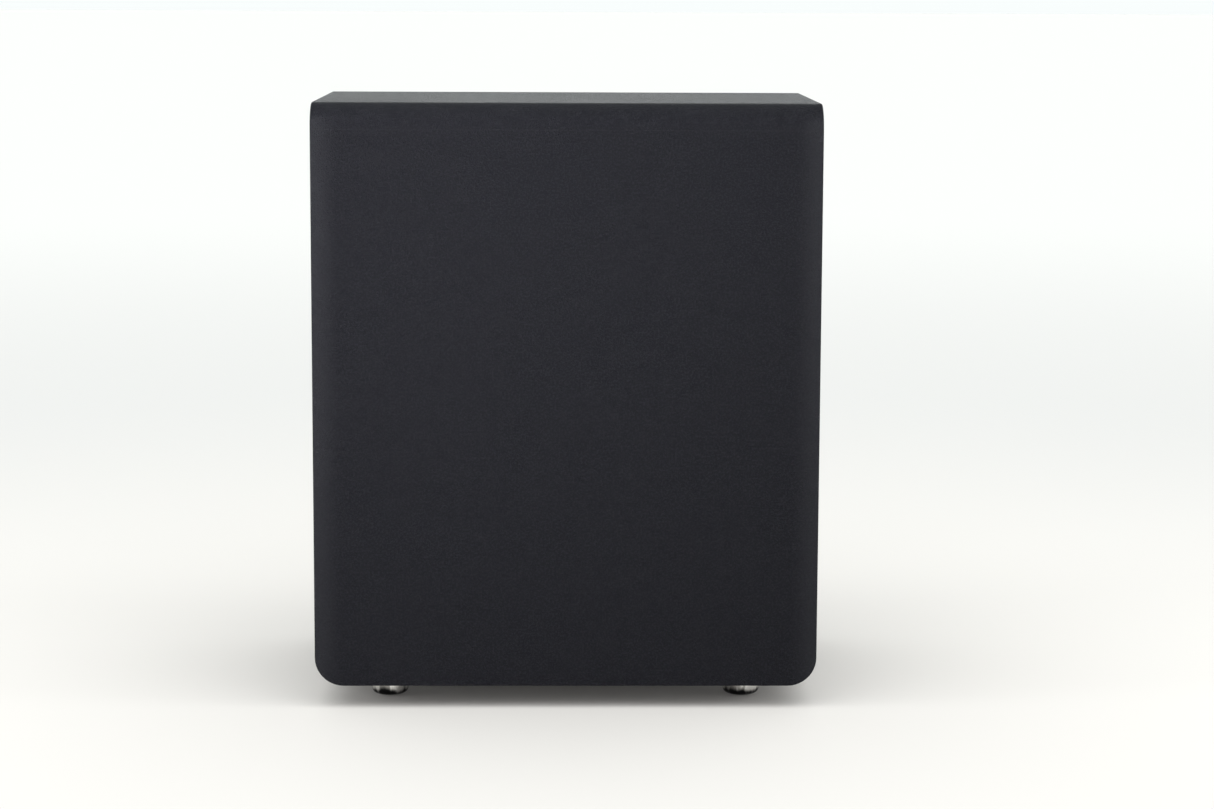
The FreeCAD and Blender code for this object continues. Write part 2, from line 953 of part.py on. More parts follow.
def control_pots():
    pots = []
    bore = shaft_radius + running_gap
    for side in (-1, 1):
        outline = [
            (6.6, bore),
            (6.6, bushing_radius),
            (plate_back, bushing_radius),
            (plate_back, pot_radius),
            (board_depth, pot_radius),
            (board_depth, 0.0),
            (plate_back + shaft_reach + free_gap, 0.0),
            (plate_back + shaft_reach + free_gap, bore),
        ]
        pots.append(rear_turned(outline, side * knob_spacing / 2, knob_row))
    return Part.makeCompound(pots)


def switch_layout():
    """Centre and travel of the two slide switches."""
    return [(-switch_spacing / 2, phase_travel), (switch_spacing / 2, mode_travel)]


def slide_switch_bodies():
    bodies = []
    for y, travel in switch_layout():
        half = switch_slot(travel) / 2 + 4
        shell = rear_block(plate_back, board_depth, y - half, y + half, switch_row - 5, switch_row + 5)
        room = rear_block(
            plate_back - 1,
            plate_back + 5,
            y - half + 1.5,
            y + half - 1.5,
            switch_row - 3,
            switch_row + 3,
        )
        bodies.append(cut(shell, [room]))
    return Part.makeCompound(bodies)


def slide_lever(index):
    """A switch lever at the low end of its travel."""
    y, travel = switch_layout()[index]
    middle = y - travel / 2
    half = lever_size / 2
    stem = rear_block(amp_plate_depth - 3.6, plate_back + 2, middle - half, middle + half,
                      switch_row - half, switch_row + half)
    foot = rear_block(plate_back + 0.4, plate_back + 4.4, middle - 3, middle + 3,
                      switch_row - 2.6, switch_row + 2.6)
    lever = join([stem, foot])
    tools = []
    for offset in (-1.1, 0.0, 1.1):
        tools.append(rear_block(amp_plate_depth - 4, amp_plate_depth - 3.2, middle + offset - 0.25,
                                middle + offset + 0.25, switch_row - 3, switch_row + 3))
    return cut(lever, tools)


def jack_shells():
    shells = []
    for z in jack_rows:
        barrel = [
            (2.6, jack_radius - 0.6),
            (2.6, jack_radius - 0.25),
            (2.9, jack_radius),
            (9.9, jack_radius),
            (9.9, 6.4),
            (amp_plate_depth, 6.4),
            (amp_plate_depth, jack_radius + 0.7),
            (plate_back, jack_radius + 0.7),
            (plate_back, jack_radius - 0.6),
        ]
        shells.append(rear_turned(barrel, 0, z))
    return Part.makeCompound(shells)


def jack_insulators():
    return Part.makeCompound([rear_ring(3.4, plate_back, 0, z, jack_radius - 0.6, 1.7) for z in jack_rows])


def jack_block():
    return rear_block(plate_back, board_depth, -7, 7, jack_rows[0] - 8, jack_rows[1] + 8)


def status_light():
    outline = [
        (amp_plate_depth - 1.6, 0.0),
        (amp_plate_depth - 1.1, light_radius * 0.75, amp_plate_depth, light_radius),
        (board_depth, light_radius),
        (board_depth, 0.0),
    ]
    return rear_turned(outline, 0, light_height)


def heat_sink():
    base_front = amp_plate_depth - 2.4
    base = rear_block(base_front, amp_plate_depth, -sink_half_width, sink_half_width, sink_bottom, sink_top)
    pieces = [base]
    pitch = (2 * sink_half_width - fin_thickness) / (fin_count - 1)
    for index in range(fin_count):
        y = -sink_half_width + index * pitch
        pieces.append(rear_block(fin_depth, base_front + 0.5, y, y + fin_thickness, sink_bottom, sink_top))
    return join(pieces)


def board_corners():
    y = board_half_width - 5
    return [(-y, board_bottom + 5), (y, board_bottom + 5), (-y, board_top - 5), (y, board_top - 5)]


def amp_board():
    board = rear_block(board_depth, board_back, -board_half_width, board_half_width, board_bottom, board_top)
    holes = [rear_rod(board_depth - 1, board_back + 1, y, z, 1.5 + running_gap) for y, z in board_corners()]
    return cut(board, holes)


def board_standoffs():
    posts = []
    for y, z in board_corners():
        posts.append(rear_ring(plate_back, board_depth, y, z, 3.2, 1.5 + running_gap))
    return Part.makeCompound(posts)


def capacitors():
    cans = []
    for y in (-44.0, 44.0):
        can = rear_rod(board_back, board_back + capacitor_length, y, board_top - 22, capacitor_radius)
        rims = [e for e in can.Edges if e.Length > 6.2 * capacitor_radius]
        cans.append(can.makeFillet(1.2, rims))
    return Part.makeCompound(cans)


def output_devices():
    """Four power transistors standing on the board."""
    devices = []
    for y in (-54.0, -38.0, 38.0, 54.0):
        z = board_bottom + 20
        body = rear_block(board_back + 4, board_back + 19, y - 5, y + 5, z, z + 4.4)
        legs = [
            rear_block(board_back, board_back + 4.5, y + offset - 0.4, y + offset + 0.4,
                       board_bottom + 21.8, board_bottom + 22.4)
            for offset in (-2.5, 0.0, 2.5)
        ]
        devices.append(join([body] + legs))
    return Part.makeCompound(devices)


def lead_socket():
    half = lead_y + 5
    return rear_block(board_back, board_back + 10, -half, half, board_bottom + 7, board_bottom + 17)


def transformer():
    start = plate_back
    end = start + transformer_length
    outline = [
        (start, transformer_bore + 6),
        (start, transformer_radius - 8),
        (start + 2.34, transformer_radius - 2.34, start + 8, transformer_radius),
        (end - 8, transformer_radius),
        (end - 2.34, transformer_radius - 2.34, end, transformer_radius - 8),
        (end, transformer_bore + 6),
        (end - 1.76, transformer_bore + 1.76, end - 6, transformer_bore),
        (start + 6, transformer_bore),
        (start + 1.76, transformer_bore + 1.76, start, transformer_bore + 6),
    ]
    return rear_turned(outline, 0, transformer_height)


def transformer_clamp():
    """A dished steel washer, its stud and its nut, which press the winding down."""
    start = plate_back + transformer_length
    outline = [
        (start, 0.0),
        (start, transformer_radius - 10),
        (start + 1.5, transformer_radius - 10),
        (start + 1.5, 0.0),
    ]
    washer = rear_turned(outline, 0, transformer_height)
    stud = rear_rod(plate_back, start + 10, 0, transformer_height, foot_bolt_radius)
    corners = []
    for index in range(7):
        turn = FreeCAD.Rotation(point(1, 0, 0), 60.0 * index)
        corners.append(turn.multVec(point(0, 0, 5.8)) + rear_point(start + 1.5, 0, transformer_height))
    nut = Part.Face(Part.makePolygon(corners)).extrude(inward_from_rear * 5)
    return join([washer, stud, nut])


def inlet_outline(depth0, depth1, half_y, z0, z1, chamfer):
    """The mains inlet's six-sided opening, with two slanted top corners."""
    corners = [
        rear_point(depth0, inlet_y - half_y, z0),
        rear_point(depth0, inlet_y + half_y, z0),
        rear_point(depth0, inlet_y + half_y, z1 - chamfer),
        rear_point(depth0, inlet_y + half_y - chamfer, z1),
        rear_point(depth0, inlet_y - half_y + chamfer, z1),
        rear_point(depth0, inlet_y - half_y, z1 - chamfer),
    ]
    face = Part.Face(Part.makePolygon(corners + [corners[0]]))
    return face.extrude(inward_from_rear * (depth1 - depth0))


def inlet_housing():
    flange = rounded_slab(inlet_front, amp_plate_depth, inlet_y - 25, inlet_y + 25,
                          inlet_height - 18, inlet_height + 16, 4.0)
    body = rear_block(amp_plate_depth - 0.5, amp_plate_depth + 26, inlet_y - 15, inlet_y + 15,
                      inlet_height - 16, inlet_height + 14)
    shell = join([flange, body])
    socket = inlet_outline(inlet_front - 1, inlet_front + socket_depth, 12.2, inlet_height - 4.4,
                           inlet_height + 12.4, 4.5)
    gap = free_gap
    half = drawer_half_width + gap
    slot = rear_block(inlet_front - 1, inlet_front + drawer_length + 1, inlet_y - half, inlet_y + half,
                      drawer_bottom - gap, drawer_bottom + drawer_height + gap)
    tools = [socket, slot]
    for y, z in inlet_pin_places():
        tools.append(rear_block(inlet_front + 4, amp_plate_depth + 30, y - 1, y + 1, z - 2, z + 2))
    return cut(shell, tools)


def inlet_pin_places():
    return [(inlet_y - 7, inlet_height + 1), (inlet_y + 7, inlet_height + 1), (inlet_y, inlet_height + 7)]


def inlet_pins():
    pins = []
    for y, z in inlet_pin_places():
        pins.append(rear_block(inlet_front + 4.6, amp_plate_depth + 34, y - 1, y + 1, z - 2, z + 2))
    return Part.makeCompound(pins)


def fuse_drawer():
    front = inlet_front - 0.8
    back = inlet_front + drawer_length
    y0 = inlet_y - drawer_half_width
    y1 = inlet_y + drawer_half_width
    tray = rear_block(front, back, y0, y1, drawer_bottom, drawer_bottom + drawer_height)
    well = rear_block(inlet_front + 1.6, back - 1.4, y0 + 1.2, y1 - 1.2, drawer_bottom + 1.2,
                      drawer_bottom + drawer_height + 1)
    nick = rear_block(front - 1, front + 0.6, inlet_y - 3.5, inlet_y + 3.5,
                      drawer_bottom + drawer_height - 1.6, drawer_bottom + drawer_height + 1)
    return cut(tray, [well, nick])


def fuse():
    """A glass tube fuse lying in the drawer."""
    z = drawer_bottom + 1.2 + 2.6
    start = inlet_front + 2.0
    return rear_rod(start, start + 20, inlet_y, z, 2.6)


def rocker_housing():
    flange = rounded_slab(amp_plate_depth - 1.8, amp_plate_depth, rocker_y - 9.6, rocker_y + 9.6,
                          rocker_height - 12.6, rocker_height + 12.6, 1.5)
    body = rear_block(amp_plate_depth - 0.5, amp_plate_depth + 18, rocker_y - 8, rocker_y + 8,
                      rocker_height - 11, rocker_height + 11)
    room = rear_block(amp_plate_depth - 3, amp_plate_depth + 12, rocker_y - rocker_half_width - free_gap,
                      rocker_y + rocker_half_width + free_gap, rocker_height - 9.7, rocker_height + 9.7)
    axle_end = rear_point(rocker_pivot_depth, rocker_y - 7.6, rocker_height)
    axle = Part.makeCylinder(1.2 + running_gap, 15.2, axle_end, point(0, 1, 0))
    return cut(join([flange, body]), [room, axle])


def rocker_cap():
    """The rocker, tipped to one end of its swing."""
    reach = rocker_half_length
    top = rocker_pivot_depth - 7.0
    heel = rocker_pivot_depth - 2
    belly = rocker_pivot_depth + 3
    profile = [(top, reach), (top + 1.5, 0.0), (top, -reach), (heel, -reach)]
    profile += [(belly, -3.0), (belly, 3.0), (heel, reach)]
    corners = [rear_point(d, rocker_y - rocker_half_width, rocker_height + z) for d, z in profile]
    prism = Part.Face(Part.makePolygon(corners + [corners[0]])).extrude(point(0, 2 * rocker_half_width, 0))
    axle = Part.makeCylinder(1.2, 14.6, rear_point(rocker_pivot_depth, rocker_y - 7.3, rocker_height),
                             point(0, 1, 0))
    cap = join([prism, axle])
    cap.rotate(rear_point(rocker_pivot_depth, rocker_y, rocker_height), point(0, 1, 0), -rocker_tilt)
    return cap


# Leads inside the cabinet


def speaker_lead(side):
    """From the board's socket, up, along under the top and down to the driver's terminal."""
    y = side * lead_y
    start_x = half_width - board_back - 10
    start_z = board_bottom + 12
    riser_x = start_x - 8 - lead_bend
    drop_x = -half_width + spider_depth + 3 + strip_thickness + lug_thickness + lead_radius
    half_bend = 0.5 ** 0.5
    small = 14.0
    top = lead_run_height
    b = lead_bend
    edges = [
        line(point(start_x, y, start_z), point(riser_x + b, y, start_z)),
        arc(
            point(riser_x + b, y, start_z),
            point(riser_x + b - b * half_bend, y, start_z + b - b * half_bend),
            point(riser_x, y, start_z + b),
        ),
        line(point(riser_x, y, start_z + b), point(riser_x, y, top - b)),
        arc(
            point(riser_x, y, top - b),
            point(riser_x - b + b * half_bend, y, top - b + b * half_bend),
            point(riser_x - b, y, top),
        ),
        line(point(riser_x - b, y, top), point(drop_x + small, y, top)),
        arc(
            point(drop_x + small, y, top),
            point(drop_x + small - small * half_bend, y, top - small + small * half_bend),
            point(drop_x, y, top - small),
        ),
        line(point(drop_x, y, top - small), point(drop_x, y, driver_height + 62)),
    ]
    return swept(edges, lead_radius)


def lead_clip():
    """A moulded clip under the brace's top rail that holds both leads."""
    x0 = brace_x - brace_thickness / 2
    body = block(x0, x0 + brace_thickness, -lead_y - 5, lead_y + 5, lead_run_height - 4, lead_run_height + 10)
    holes = []
    for y in (-lead_y, lead_y):
        holes.append(Part.makeCylinder(lead_radius, brace_thickness + 2, point(x0 - 1, y, lead_run_height),
                                       point(1, 0, 0)))
    middle = block(x0 - 1, x0 + brace_thickness + 1, -lead_y + 5, lead_y - 5, lead_run_height - 5,
                   lead_run_height + 5)
    return cut(body, holes + [middle])


outside = envelope()
save(side_panel(outside, -1), "near_side_panel")
save(side_panel(outside, 1), "far_side_panel")
save(top_panel(outside), "top_panel")
save(bottom_panel(outside), "bottom_panel")
save(front_baffle(outside), "front_baffle")
save(rear_panel(outside), "rear_panel")
save(window_brace(), "window_brace")
save(driver_backing_ring(), "driver_backing_ring")
save(rear_batten_frame(), "rear_batten_frame")
save(wadding(), "wadding")

save(foot_shells(), "foot_shells")
save(foot_pads(), "foot_pads")
save(foot_bolts(), "foot_bolts")
save(foot_inserts(), "foot_inserts")

save(guard(), "driver_guard")
save(driver_frame(), "driver_frame")
save(driver_gasket(), "driver_gasket")
save(driver_screws(), "driver_screws")
save(surround(), "surround")
save(cone(), "cone")
save(dust_cap(), "dust_cap")
save(coil_former(), "coil_former")
save(coil_winding(), "coil_winding")
save(spider(), "spider")
save(top_plate(), "magnet_top_plate")
save(magnet(), "magnet")
save(pole_yoke(), "pole_yoke")
save(terminal_strip(), "terminal_strip")
save(tinsel_leads(), "tinsel_leads")

save(port_flare(), "port_flare")
save(port_tube(), "port_tube")

save(amp_plate(), "amp_plate")
save(amp_gasket(), "amp_gasket")
save(amp_screws(), "amp_screws")
save(knob(-1), "level_knob")
save(knob(1), "crossover_knob")
save(control_pots(), "control_pots")
save(slide_switch_bodies(), "slide_switch_bodies")
save(slide_lever(0), "phase_lever")
save(slide_lever(1), "mode_lever")
save(jack_shells(), "jack_shells")
save(jack_insulators(), "jack_insulators")
save(jack_block(), "jack_block")
save(status_light(), "status_light")
save(heat_sink(), "heat_sink")
save(amp_board(), "amp_board")
save(board_standoffs(), "board_standoffs")
save(capacitors(), "capacitors")
save(output_devices(), "output_devices")
save(lead_socket(), "lead_socket")
save(transformer(), "transformer")
save(transformer_clamp(), "transformer_clamp")
save(inlet_housing(), "inlet_housing")
save(inlet_pins(), "inlet_pins")
save(fuse_drawer(), "fuse_drawer")
save(fuse(), "fuse")
save(rocker_housing(), "rocker_housing")
save(rocker_cap(), "rocker_cap")
save(Part.makeCompound([speaker_lead(-1), speaker_lead(1)]), "speaker_leads")
save(lead_clip(), "lead_clip")
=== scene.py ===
import bmesh
import bpy
import math

from mathutils import Euler, Matrix, Vector, noise
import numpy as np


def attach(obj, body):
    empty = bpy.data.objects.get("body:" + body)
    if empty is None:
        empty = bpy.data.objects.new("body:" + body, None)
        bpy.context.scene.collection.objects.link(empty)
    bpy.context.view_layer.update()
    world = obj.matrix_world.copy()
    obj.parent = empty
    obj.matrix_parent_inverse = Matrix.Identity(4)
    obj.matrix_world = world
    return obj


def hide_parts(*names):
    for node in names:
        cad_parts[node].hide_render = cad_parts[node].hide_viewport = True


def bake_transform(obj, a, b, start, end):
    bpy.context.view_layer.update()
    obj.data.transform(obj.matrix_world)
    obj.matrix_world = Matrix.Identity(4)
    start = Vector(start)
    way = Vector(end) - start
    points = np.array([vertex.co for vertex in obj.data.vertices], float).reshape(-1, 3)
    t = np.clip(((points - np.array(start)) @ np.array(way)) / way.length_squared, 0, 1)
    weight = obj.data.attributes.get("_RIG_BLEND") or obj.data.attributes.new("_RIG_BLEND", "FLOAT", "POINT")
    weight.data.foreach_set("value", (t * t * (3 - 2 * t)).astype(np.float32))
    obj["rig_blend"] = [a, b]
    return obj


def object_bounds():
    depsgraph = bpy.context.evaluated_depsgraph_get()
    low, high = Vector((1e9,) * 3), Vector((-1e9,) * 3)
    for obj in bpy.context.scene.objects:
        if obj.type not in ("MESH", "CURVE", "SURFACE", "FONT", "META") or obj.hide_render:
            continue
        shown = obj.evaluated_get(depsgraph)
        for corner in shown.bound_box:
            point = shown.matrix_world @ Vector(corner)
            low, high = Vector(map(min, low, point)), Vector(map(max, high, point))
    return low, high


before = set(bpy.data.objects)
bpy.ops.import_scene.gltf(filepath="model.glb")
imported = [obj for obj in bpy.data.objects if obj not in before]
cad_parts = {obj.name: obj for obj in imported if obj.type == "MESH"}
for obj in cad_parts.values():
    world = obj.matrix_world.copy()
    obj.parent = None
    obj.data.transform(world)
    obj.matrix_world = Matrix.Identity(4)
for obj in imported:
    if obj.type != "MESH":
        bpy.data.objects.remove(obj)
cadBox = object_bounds()
print("frame loaded:", len(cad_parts), "nodes")


class Wire:
    # one node output, which takes part in sums like a number
    def __init__(self, tree, output):
        self.tree = tree
        self.output = output

    def maths(self, operation, *others, clamp=False):
        node = self.tree.nodes.new("ShaderNodeMath")
        node.operation = operation
        node.use_clamp = clamp
        for index, value in enumerate((self,) + others):
            plug(self.tree, node.inputs[index], value)
        return Wire(self.tree, node.outputs[0])

    def __add__(self, other):
        return self.maths("ADD", other)

    __radd__ = __add__

    def __sub__(self, other):
        return self.maths("SUBTRACT", other)

    def __rsub__(self, other):
        return Wire.maths(constant(self.tree, other), "SUBTRACT", self)

    def __mul__(self, other):
        return self.maths("MULTIPLY", other)

    __rmul__ = __mul__

    def __lt__(self, other):
        return self.maths("LESS_THAN", other)

    def __gt__(self, other):
        return self.maths("GREATER_THAN", other)

    def __abs__(self):
        return self.maths("ABSOLUTE")

    def clamped(self):
        return self.maths("ADD", 0.0, clamp=True)


def constant(tree, value):
    node = tree.nodes.new("ShaderNodeValue")
    node.outputs[0].default_value = value
    return Wire(tree, node.outputs[0])


def plug(tree, socket, value):
    if isinstance(value, Wire):
        tree.links.new(value.output, socket)
    elif isinstance(value, (tuple, list)) and socket.type == "RGBA" and len(value) == 3:
        socket.default_value = (*value, 1.0)
    else:
        socket.default_value = value


class Finish:
    # a material with one Principled shader, built node by node
    def __init__(self, name):
        self.material = bpy.data.materials.new(name)
        self.material.use_nodes = True
        self.tree = self.material.node_tree
        self.shader = self.tree.nodes["Principled BSDF"]

    def node(self, kind, settings=None, sockets=None, out=0):
        made = self.tree.nodes.new(kind)
        for name, value in (settings or {}).items():
            if name == "stops":
                ramp = made.color_ramp
                while len(ramp.elements) < len(value):
                    ramp.elements.new(0.5)
                for element, (place, colour) in zip(ramp.elements, value):
                    element.position = place
                    element.color = (*colour, 1.0)
            else:
                setattr(made, name, value)
        for name, value in (sockets or {}).items():
            plug(self.tree, made.inputs[name], value)
        return Wire(self.tree, made.outputs[out])

    def place(self):
        return self.node("ShaderNodeTexCoord", out="Object")

    def mapped(self, vector, location=(0, 0, 0), rotation=(0, 0, 0), scale=(1, 1, 1)):
        sockets = {"Vector": vector, "Location": location, "Rotation": rotation, "Scale": scale}
        return self.node("ShaderNodeMapping", None, sockets)

    def parts(self, vector):
        split = self.node("ShaderNodeSeparateXYZ", None, {"Vector": vector})
        return [Wire(self.tree, split.output.node.outputs[index]) for index in range(3)]

    def noise(self, vector, scale, detail=2.0, roughness=0.5):
        sockets = {"Vector": vector, "Scale": scale, "Detail": detail, "Roughness": roughness}
        return self.node("ShaderNodeTexNoise", None, sockets)

    def cells(self, vector, scale, feature="F1", randomness=1.0, out="Distance"):
        sockets = {"Vector": vector, "Scale": scale, "Randomness": randomness}
        return self.node("ShaderNodeTexVoronoi", {"feature": feature}, sockets, out)

    def ramp(self, factor, stops):
        return self.node("ShaderNodeValToRGB", {"stops": stops}, {"Fac": factor})

    def steps(self, value, low, high, toLow=0.0, toHigh=1.0):
        sockets = {"Value": value, "From Min": low, "From Max": high, "To Min": toLow, "To Max": toHigh}
        return self.node("ShaderNodeMapRange", {"interpolation_type": "SMOOTHSTEP"}, sockets)

    def mix(self, first, second, factor, blend="MIX"):
        settings = {"data_type": "RGBA", "blend_type": blend}
        return self.node("ShaderNodeMix", settings, {0: factor, 6: first, 7: second}, out=2)

    def bump(self, height, distance, strength):
        sockets = {"Height": height, "Distance": distance, "Strength": strength}
        return self.node("ShaderNodeBump", None, sockets)

    def wear(self, size):
        # 1 on outer edges, fading over the given size
        inner = self.node("ShaderNodeBevel", {"samples": 4}, {"Radius": size})
        plain = self.node("ShaderNodeNewGeometry", out="Normal")
        settings = {"operation": "DOT_PRODUCT"}
        turn = self.node("ShaderNodeVectorMath", settings, {0: inner, 1: plain}, out="Value")
        return (1 - turn).clamped()

    def set(self, **sockets):
        names = {
            "colour": "Base Color", "roughness": "Roughness", "metallic": "Metallic",
            "normal": "Normal", "coat": "Coat Weight", "coatRoughness": "Coat Roughness",
            "sheen": "Sheen Weight", "sheenRoughness": "Sheen Roughness", "ior": "IOR",
            "specular": "Specular IOR Level",
            "emission": "Emission Color", "glow": "Emission Strength",
            "transmission": "Transmission Weight",
        }
        for name, value in sockets.items():
            plug(self.tree, self.shader.inputs[names[name]], value)
        return self.material


# satin black paint over a fine sprayed texture
cabinetPaint = {
    "colour": (0.0033, 0.0034, 0.0057),
    "fleck": (0.0088, 0.0090, 0.0118),
    "pit": (0.0015, 0.0016, 0.0031),
    "fleckEdges": (0.46, 0.62),
    "evenness": 0.25,
    "grainScale": 1500.0,
    "mottleScale": 720.0,
    "fineRatio": 2.2,
    "driftScale": 7.0,
    "grainHeight": 0.0011,
    "grainStrength": 0.9,
    "roughness": (0.36, 0.50),
    "roughnessDrift": 0.06,
    "specular": 0.102,
    "edgeColour": (0.022, 0.0225, 0.025),
    "edgeWidth": 0.0009,
    "edgeShare": 0.7,
    # a painted highlight, paler towards the ends of the large sides
    "rimHighlightColour": (0.0150, 0.0153, 0.0182),
    "rimHighlightInside": 0.155,
    "rimHighlightShare": 0.5,
    "rimHighlightFacing": (0.8, 0.97),
}


def makeCabinetPaint():
    paint = cabinetPaint
    look = Finish("cabinetPaint")
    here = look.place()
    pebble = look.cells(here, paint["grainScale"], "SMOOTH_F1")
    grain = look.noise(here, paint["mottleScale"] * paint["fineRatio"], 3.0, 0.6)
    mottle = look.noise(here, paint["mottleScale"], 2.0, 0.55)
    drift = look.noise(here, paint["driftScale"], 2.0)
    colour = look.mix(paint["pit"], paint["fleck"], look.steps(mottle, *paint["fleckEdges"]))
    colour = look.mix(colour, paint["colour"], paint["evenness"])
    # painted highlight: the large sides are painted paler towards their two ends, in place of the brighter
    # reflection there
    outwards = look.parts(look.node("ShaderNodeNewGeometry", out="Normal"))[1]
    rim = look.steps(abs(look.parts(here)[0]), paint["rimHighlightInside"], cadBox[1][0])
    highlightSide = look.steps(abs(outwards), *paint["rimHighlightFacing"])
    colour = look.mix(colour, paint["rimHighlightColour"], rim * highlightSide * paint["rimHighlightShare"])
    colour = look.mix(colour, paint["edgeColour"], look.wear(paint["edgeWidth"]) * paint["edgeShare"])
    low, high = paint["roughness"]
    roughness = low + (high - low) * grain + (drift - 0.5) * paint["roughnessDrift"]
    height = pebble * 0.6 + grain * 0.8 + mottle * 0.5
    normal = look.bump(height, paint["grainHeight"], paint["grainStrength"])
    return look.set(colour=colour, roughness=roughness, normal=normal, specular=paint["specular"], ior=1.5)


def makeRoughPaint(name, colour, scale, height, roughness, edge=0.0):
    # powder coats and grained mouldings
    look = Finish(name)
    here = look.place()
    grain = look.noise(here, scale, 3.0, 0.6)
    patch = look.noise(here, 18.0, 3.0)
    light = tuple(min(1.0, value * 1.45 + 0.002) for value in colour)
    dark = tuple(value * 0.7 for value in colour)
    tone = look.mix(dark, light, look.steps(grain * 0.7 + patch * 0.3, 0.35, 0.65))
    if edge:
        tone = look.mix(tone, tuple(min(1.0, value * 3 + 0.02) for value in colour), look.wear(edge) * 0.6)
    return look.set(
        colour=tone,
        roughness=roughness + (patch - 0.5) * 0.12 + (grain - 0.5) * 0.1,
        normal=look.bump(grain, height, 0.8),
    )


def makeSmoothPlastic(name, colour, roughness=0.32, coat=0.0):
    look = Finish(name)
    here = look.place()
    swirl = look.noise(here, 60.0, 4.0, 0.6)
    scratch = look.noise(look.mapped(here, scale=(900, 40, 900)), 1.0, 2.0)
    dust = look.steps(look.noise(here, 1400.0, 1.0), 0.66, 0.80)
    tone = look.mix(colour, tuple(min(1.0, value * 1.25 + 0.004) for value in colour), swirl)
    tone = look.mix(tone, (0.35, 0.34, 0.32), dust * 0.05)
    return look.set(
        colour=tone,
        roughness=roughness + (swirl - 0.5) * 0.14 + dust * 0.1,
        normal=look.bump(scratch + swirl, 0.000012, 0.6),
        coat=coat,
    )


def makeMetal(name, colour, roughness, brushed=(1, 1, 1), grime=0.15, bumpHeight=0.00001, scale=350.0):
    look = Finish(name)
    here = look.place()
    lines = look.noise(look.mapped(here, scale=brushed), scale, 4.0, 0.65)
    patch = look.noise(here, 35.0, 4.0, 0.6)
    spot = look.steps(look.noise(here, 260.0, 3.0), 0.60, 0.74)
    tone = look.mix(colour, tuple(value * 0.72 for value in colour), look.steps(patch, 0.35, 0.75) * 0.5)
    tone = look.mix(tone, (0.16, 0.13, 0.10), spot * grime)
    return look.set(
        colour=tone,
        metallic=1.0,
        roughness=roughness + (lines - 0.5) * 0.12 + spot * grime * 0.6,
        normal=look.bump(lines, bumpHeight, 0.5),
    )


# painted reflections for the feet: a broken bright band above and a dark reflection below
footPlatingAndReflections = {
    "bright": (0.98, 0.965, 0.93),
    "reflectionBreaks": (0.34, 0.33, 0.31),
    "paintedDarkReflection": (0.022, 0.022, 0.024),
    "paintedDarkReflectionSheen": (0.16, 0.16, 0.165),
    "darkReflectionHeights": (0.0036, 0.0066),
    "ragged": 0.007,
    "roughness": 0.06,
}


def makeChrome():
    # chrome with painted reflections: a bright band with broken patches above, and a painted dark reflection
    # of the shaded floor where it turns under
    chrome = footPlatingAndReflections
    look = Finish("footChrome")
    here = look.place()
    high = look.parts(here)[2]
    turned = look.noise(look.mapped(here, scale=(1, 1, 60)), 90.0, 3.0, 0.6)
    smear = look.noise(look.mapped(here, scale=(1, 1, 0.3)), 170.0, 2.0, 0.5)
    bright = look.mix(chrome["reflectionBreaks"], chrome["bright"], look.steps(smear, 0.40, 0.54))
    dark = look.mix(chrome["paintedDarkReflection"], chrome["paintedDarkReflectionSheen"], look.steps(smear, 0.50, 0.70))
    low, top = chrome["darkReflectionHeights"]
    # painted reflection: dark below the given heights, bright above
    tone = look.mix(dark, bright, look.steps(high + (smear - 0.5) * chrome["ragged"], low, top))
    return look.set(
        colour=tone,
        metallic=1.0,
        roughness=chrome["roughness"] + turned * 0.05,
        normal=look.bump(turned, 0.000006, 0.5),
    )


def makeBoard():
    # bare fibreboard: pressed fibre flecks over a soft tan
    look = Finish("rawBoard")
    here = look.place()
    fibre = look.noise(look.mapped(here, scale=(1, 1, 2.4)), 420.0, 5.0, 0.7)
    cloud = look.noise(here, 22.0, 4.0)
    tone = look.ramp(fibre * 0.75 + cloud * 0.25, [
        (0.30, (0.20, 0.130, 0.075)), (0.48, (0.42, 0.290, 0.175)), (0.70, (0.56, 0.420, 0.280)),
    ])
    return look.set(colour=tone, roughness=0.82, normal=look.bump(fibre, 0.00012, 0.7))


def makeFerrite():
    look = Finish("ferrite")
    here = look.place()
    grain = look.noise(here, 800.0, 4.0, 0.7)
    chip = look.steps(look.cells(here, 90.0), 0.05, 0.16)
    tone = look.mix((0.10, 0.10, 0.105), (0.040, 0.040, 0.044), chip * 0.8 + grain * 0.2)
    normal = look.bump(grain + chip * 0.5, 0.00006, 0.6)
    return look.set(colour=tone, roughness=0.55 + grain * 0.2, normal=normal)


def makeConeSkin():
    look = Finish("coneSkin")
    here = look.place()
    flake = look.cells(here, 1300.0, out="Color")
    red = look.parts(flake)[0]
    shine = look.steps(red, 0.86, 1.0)
    cloud = look.noise(here, 45.0, 4.0)
    tone = look.mix((0.030, 0.030, 0.034), (0.052, 0.053, 0.058), cloud)
    tone = look.mix(tone, (0.30, 0.30, 0.32), shine * 0.55)
    return look.set(
        colour=tone,
        roughness=0.46 - shine * 0.2 + (cloud - 0.5) * 0.1,
        metallic=shine * 0.6,
        normal=look.bump(red + cloud, 0.00002, 0.5),
    )


def makeRubber(name, colour, roughness=0.58, grain=700.0):
    look = Finish(name)
    here = look.place()
    fine = look.noise(here, grain, 3.0, 0.6)
    bloom = look.noise(here, 26.0, 4.0, 0.6)
    pale = tuple(min(1.0, value * 1.7 + 0.008) for value in colour)
    tone = look.mix(colour, pale, look.steps(bloom, 0.45, 0.80) * 0.6 + fine * 0.15)
    return look.set(
        colour=tone,
        roughness=roughness + (fine - 0.5) * 0.16,
        normal=look.bump(fine, 0.00003, 0.6),
        sheen=0.12,
        sheenRoughness=0.5,
    )


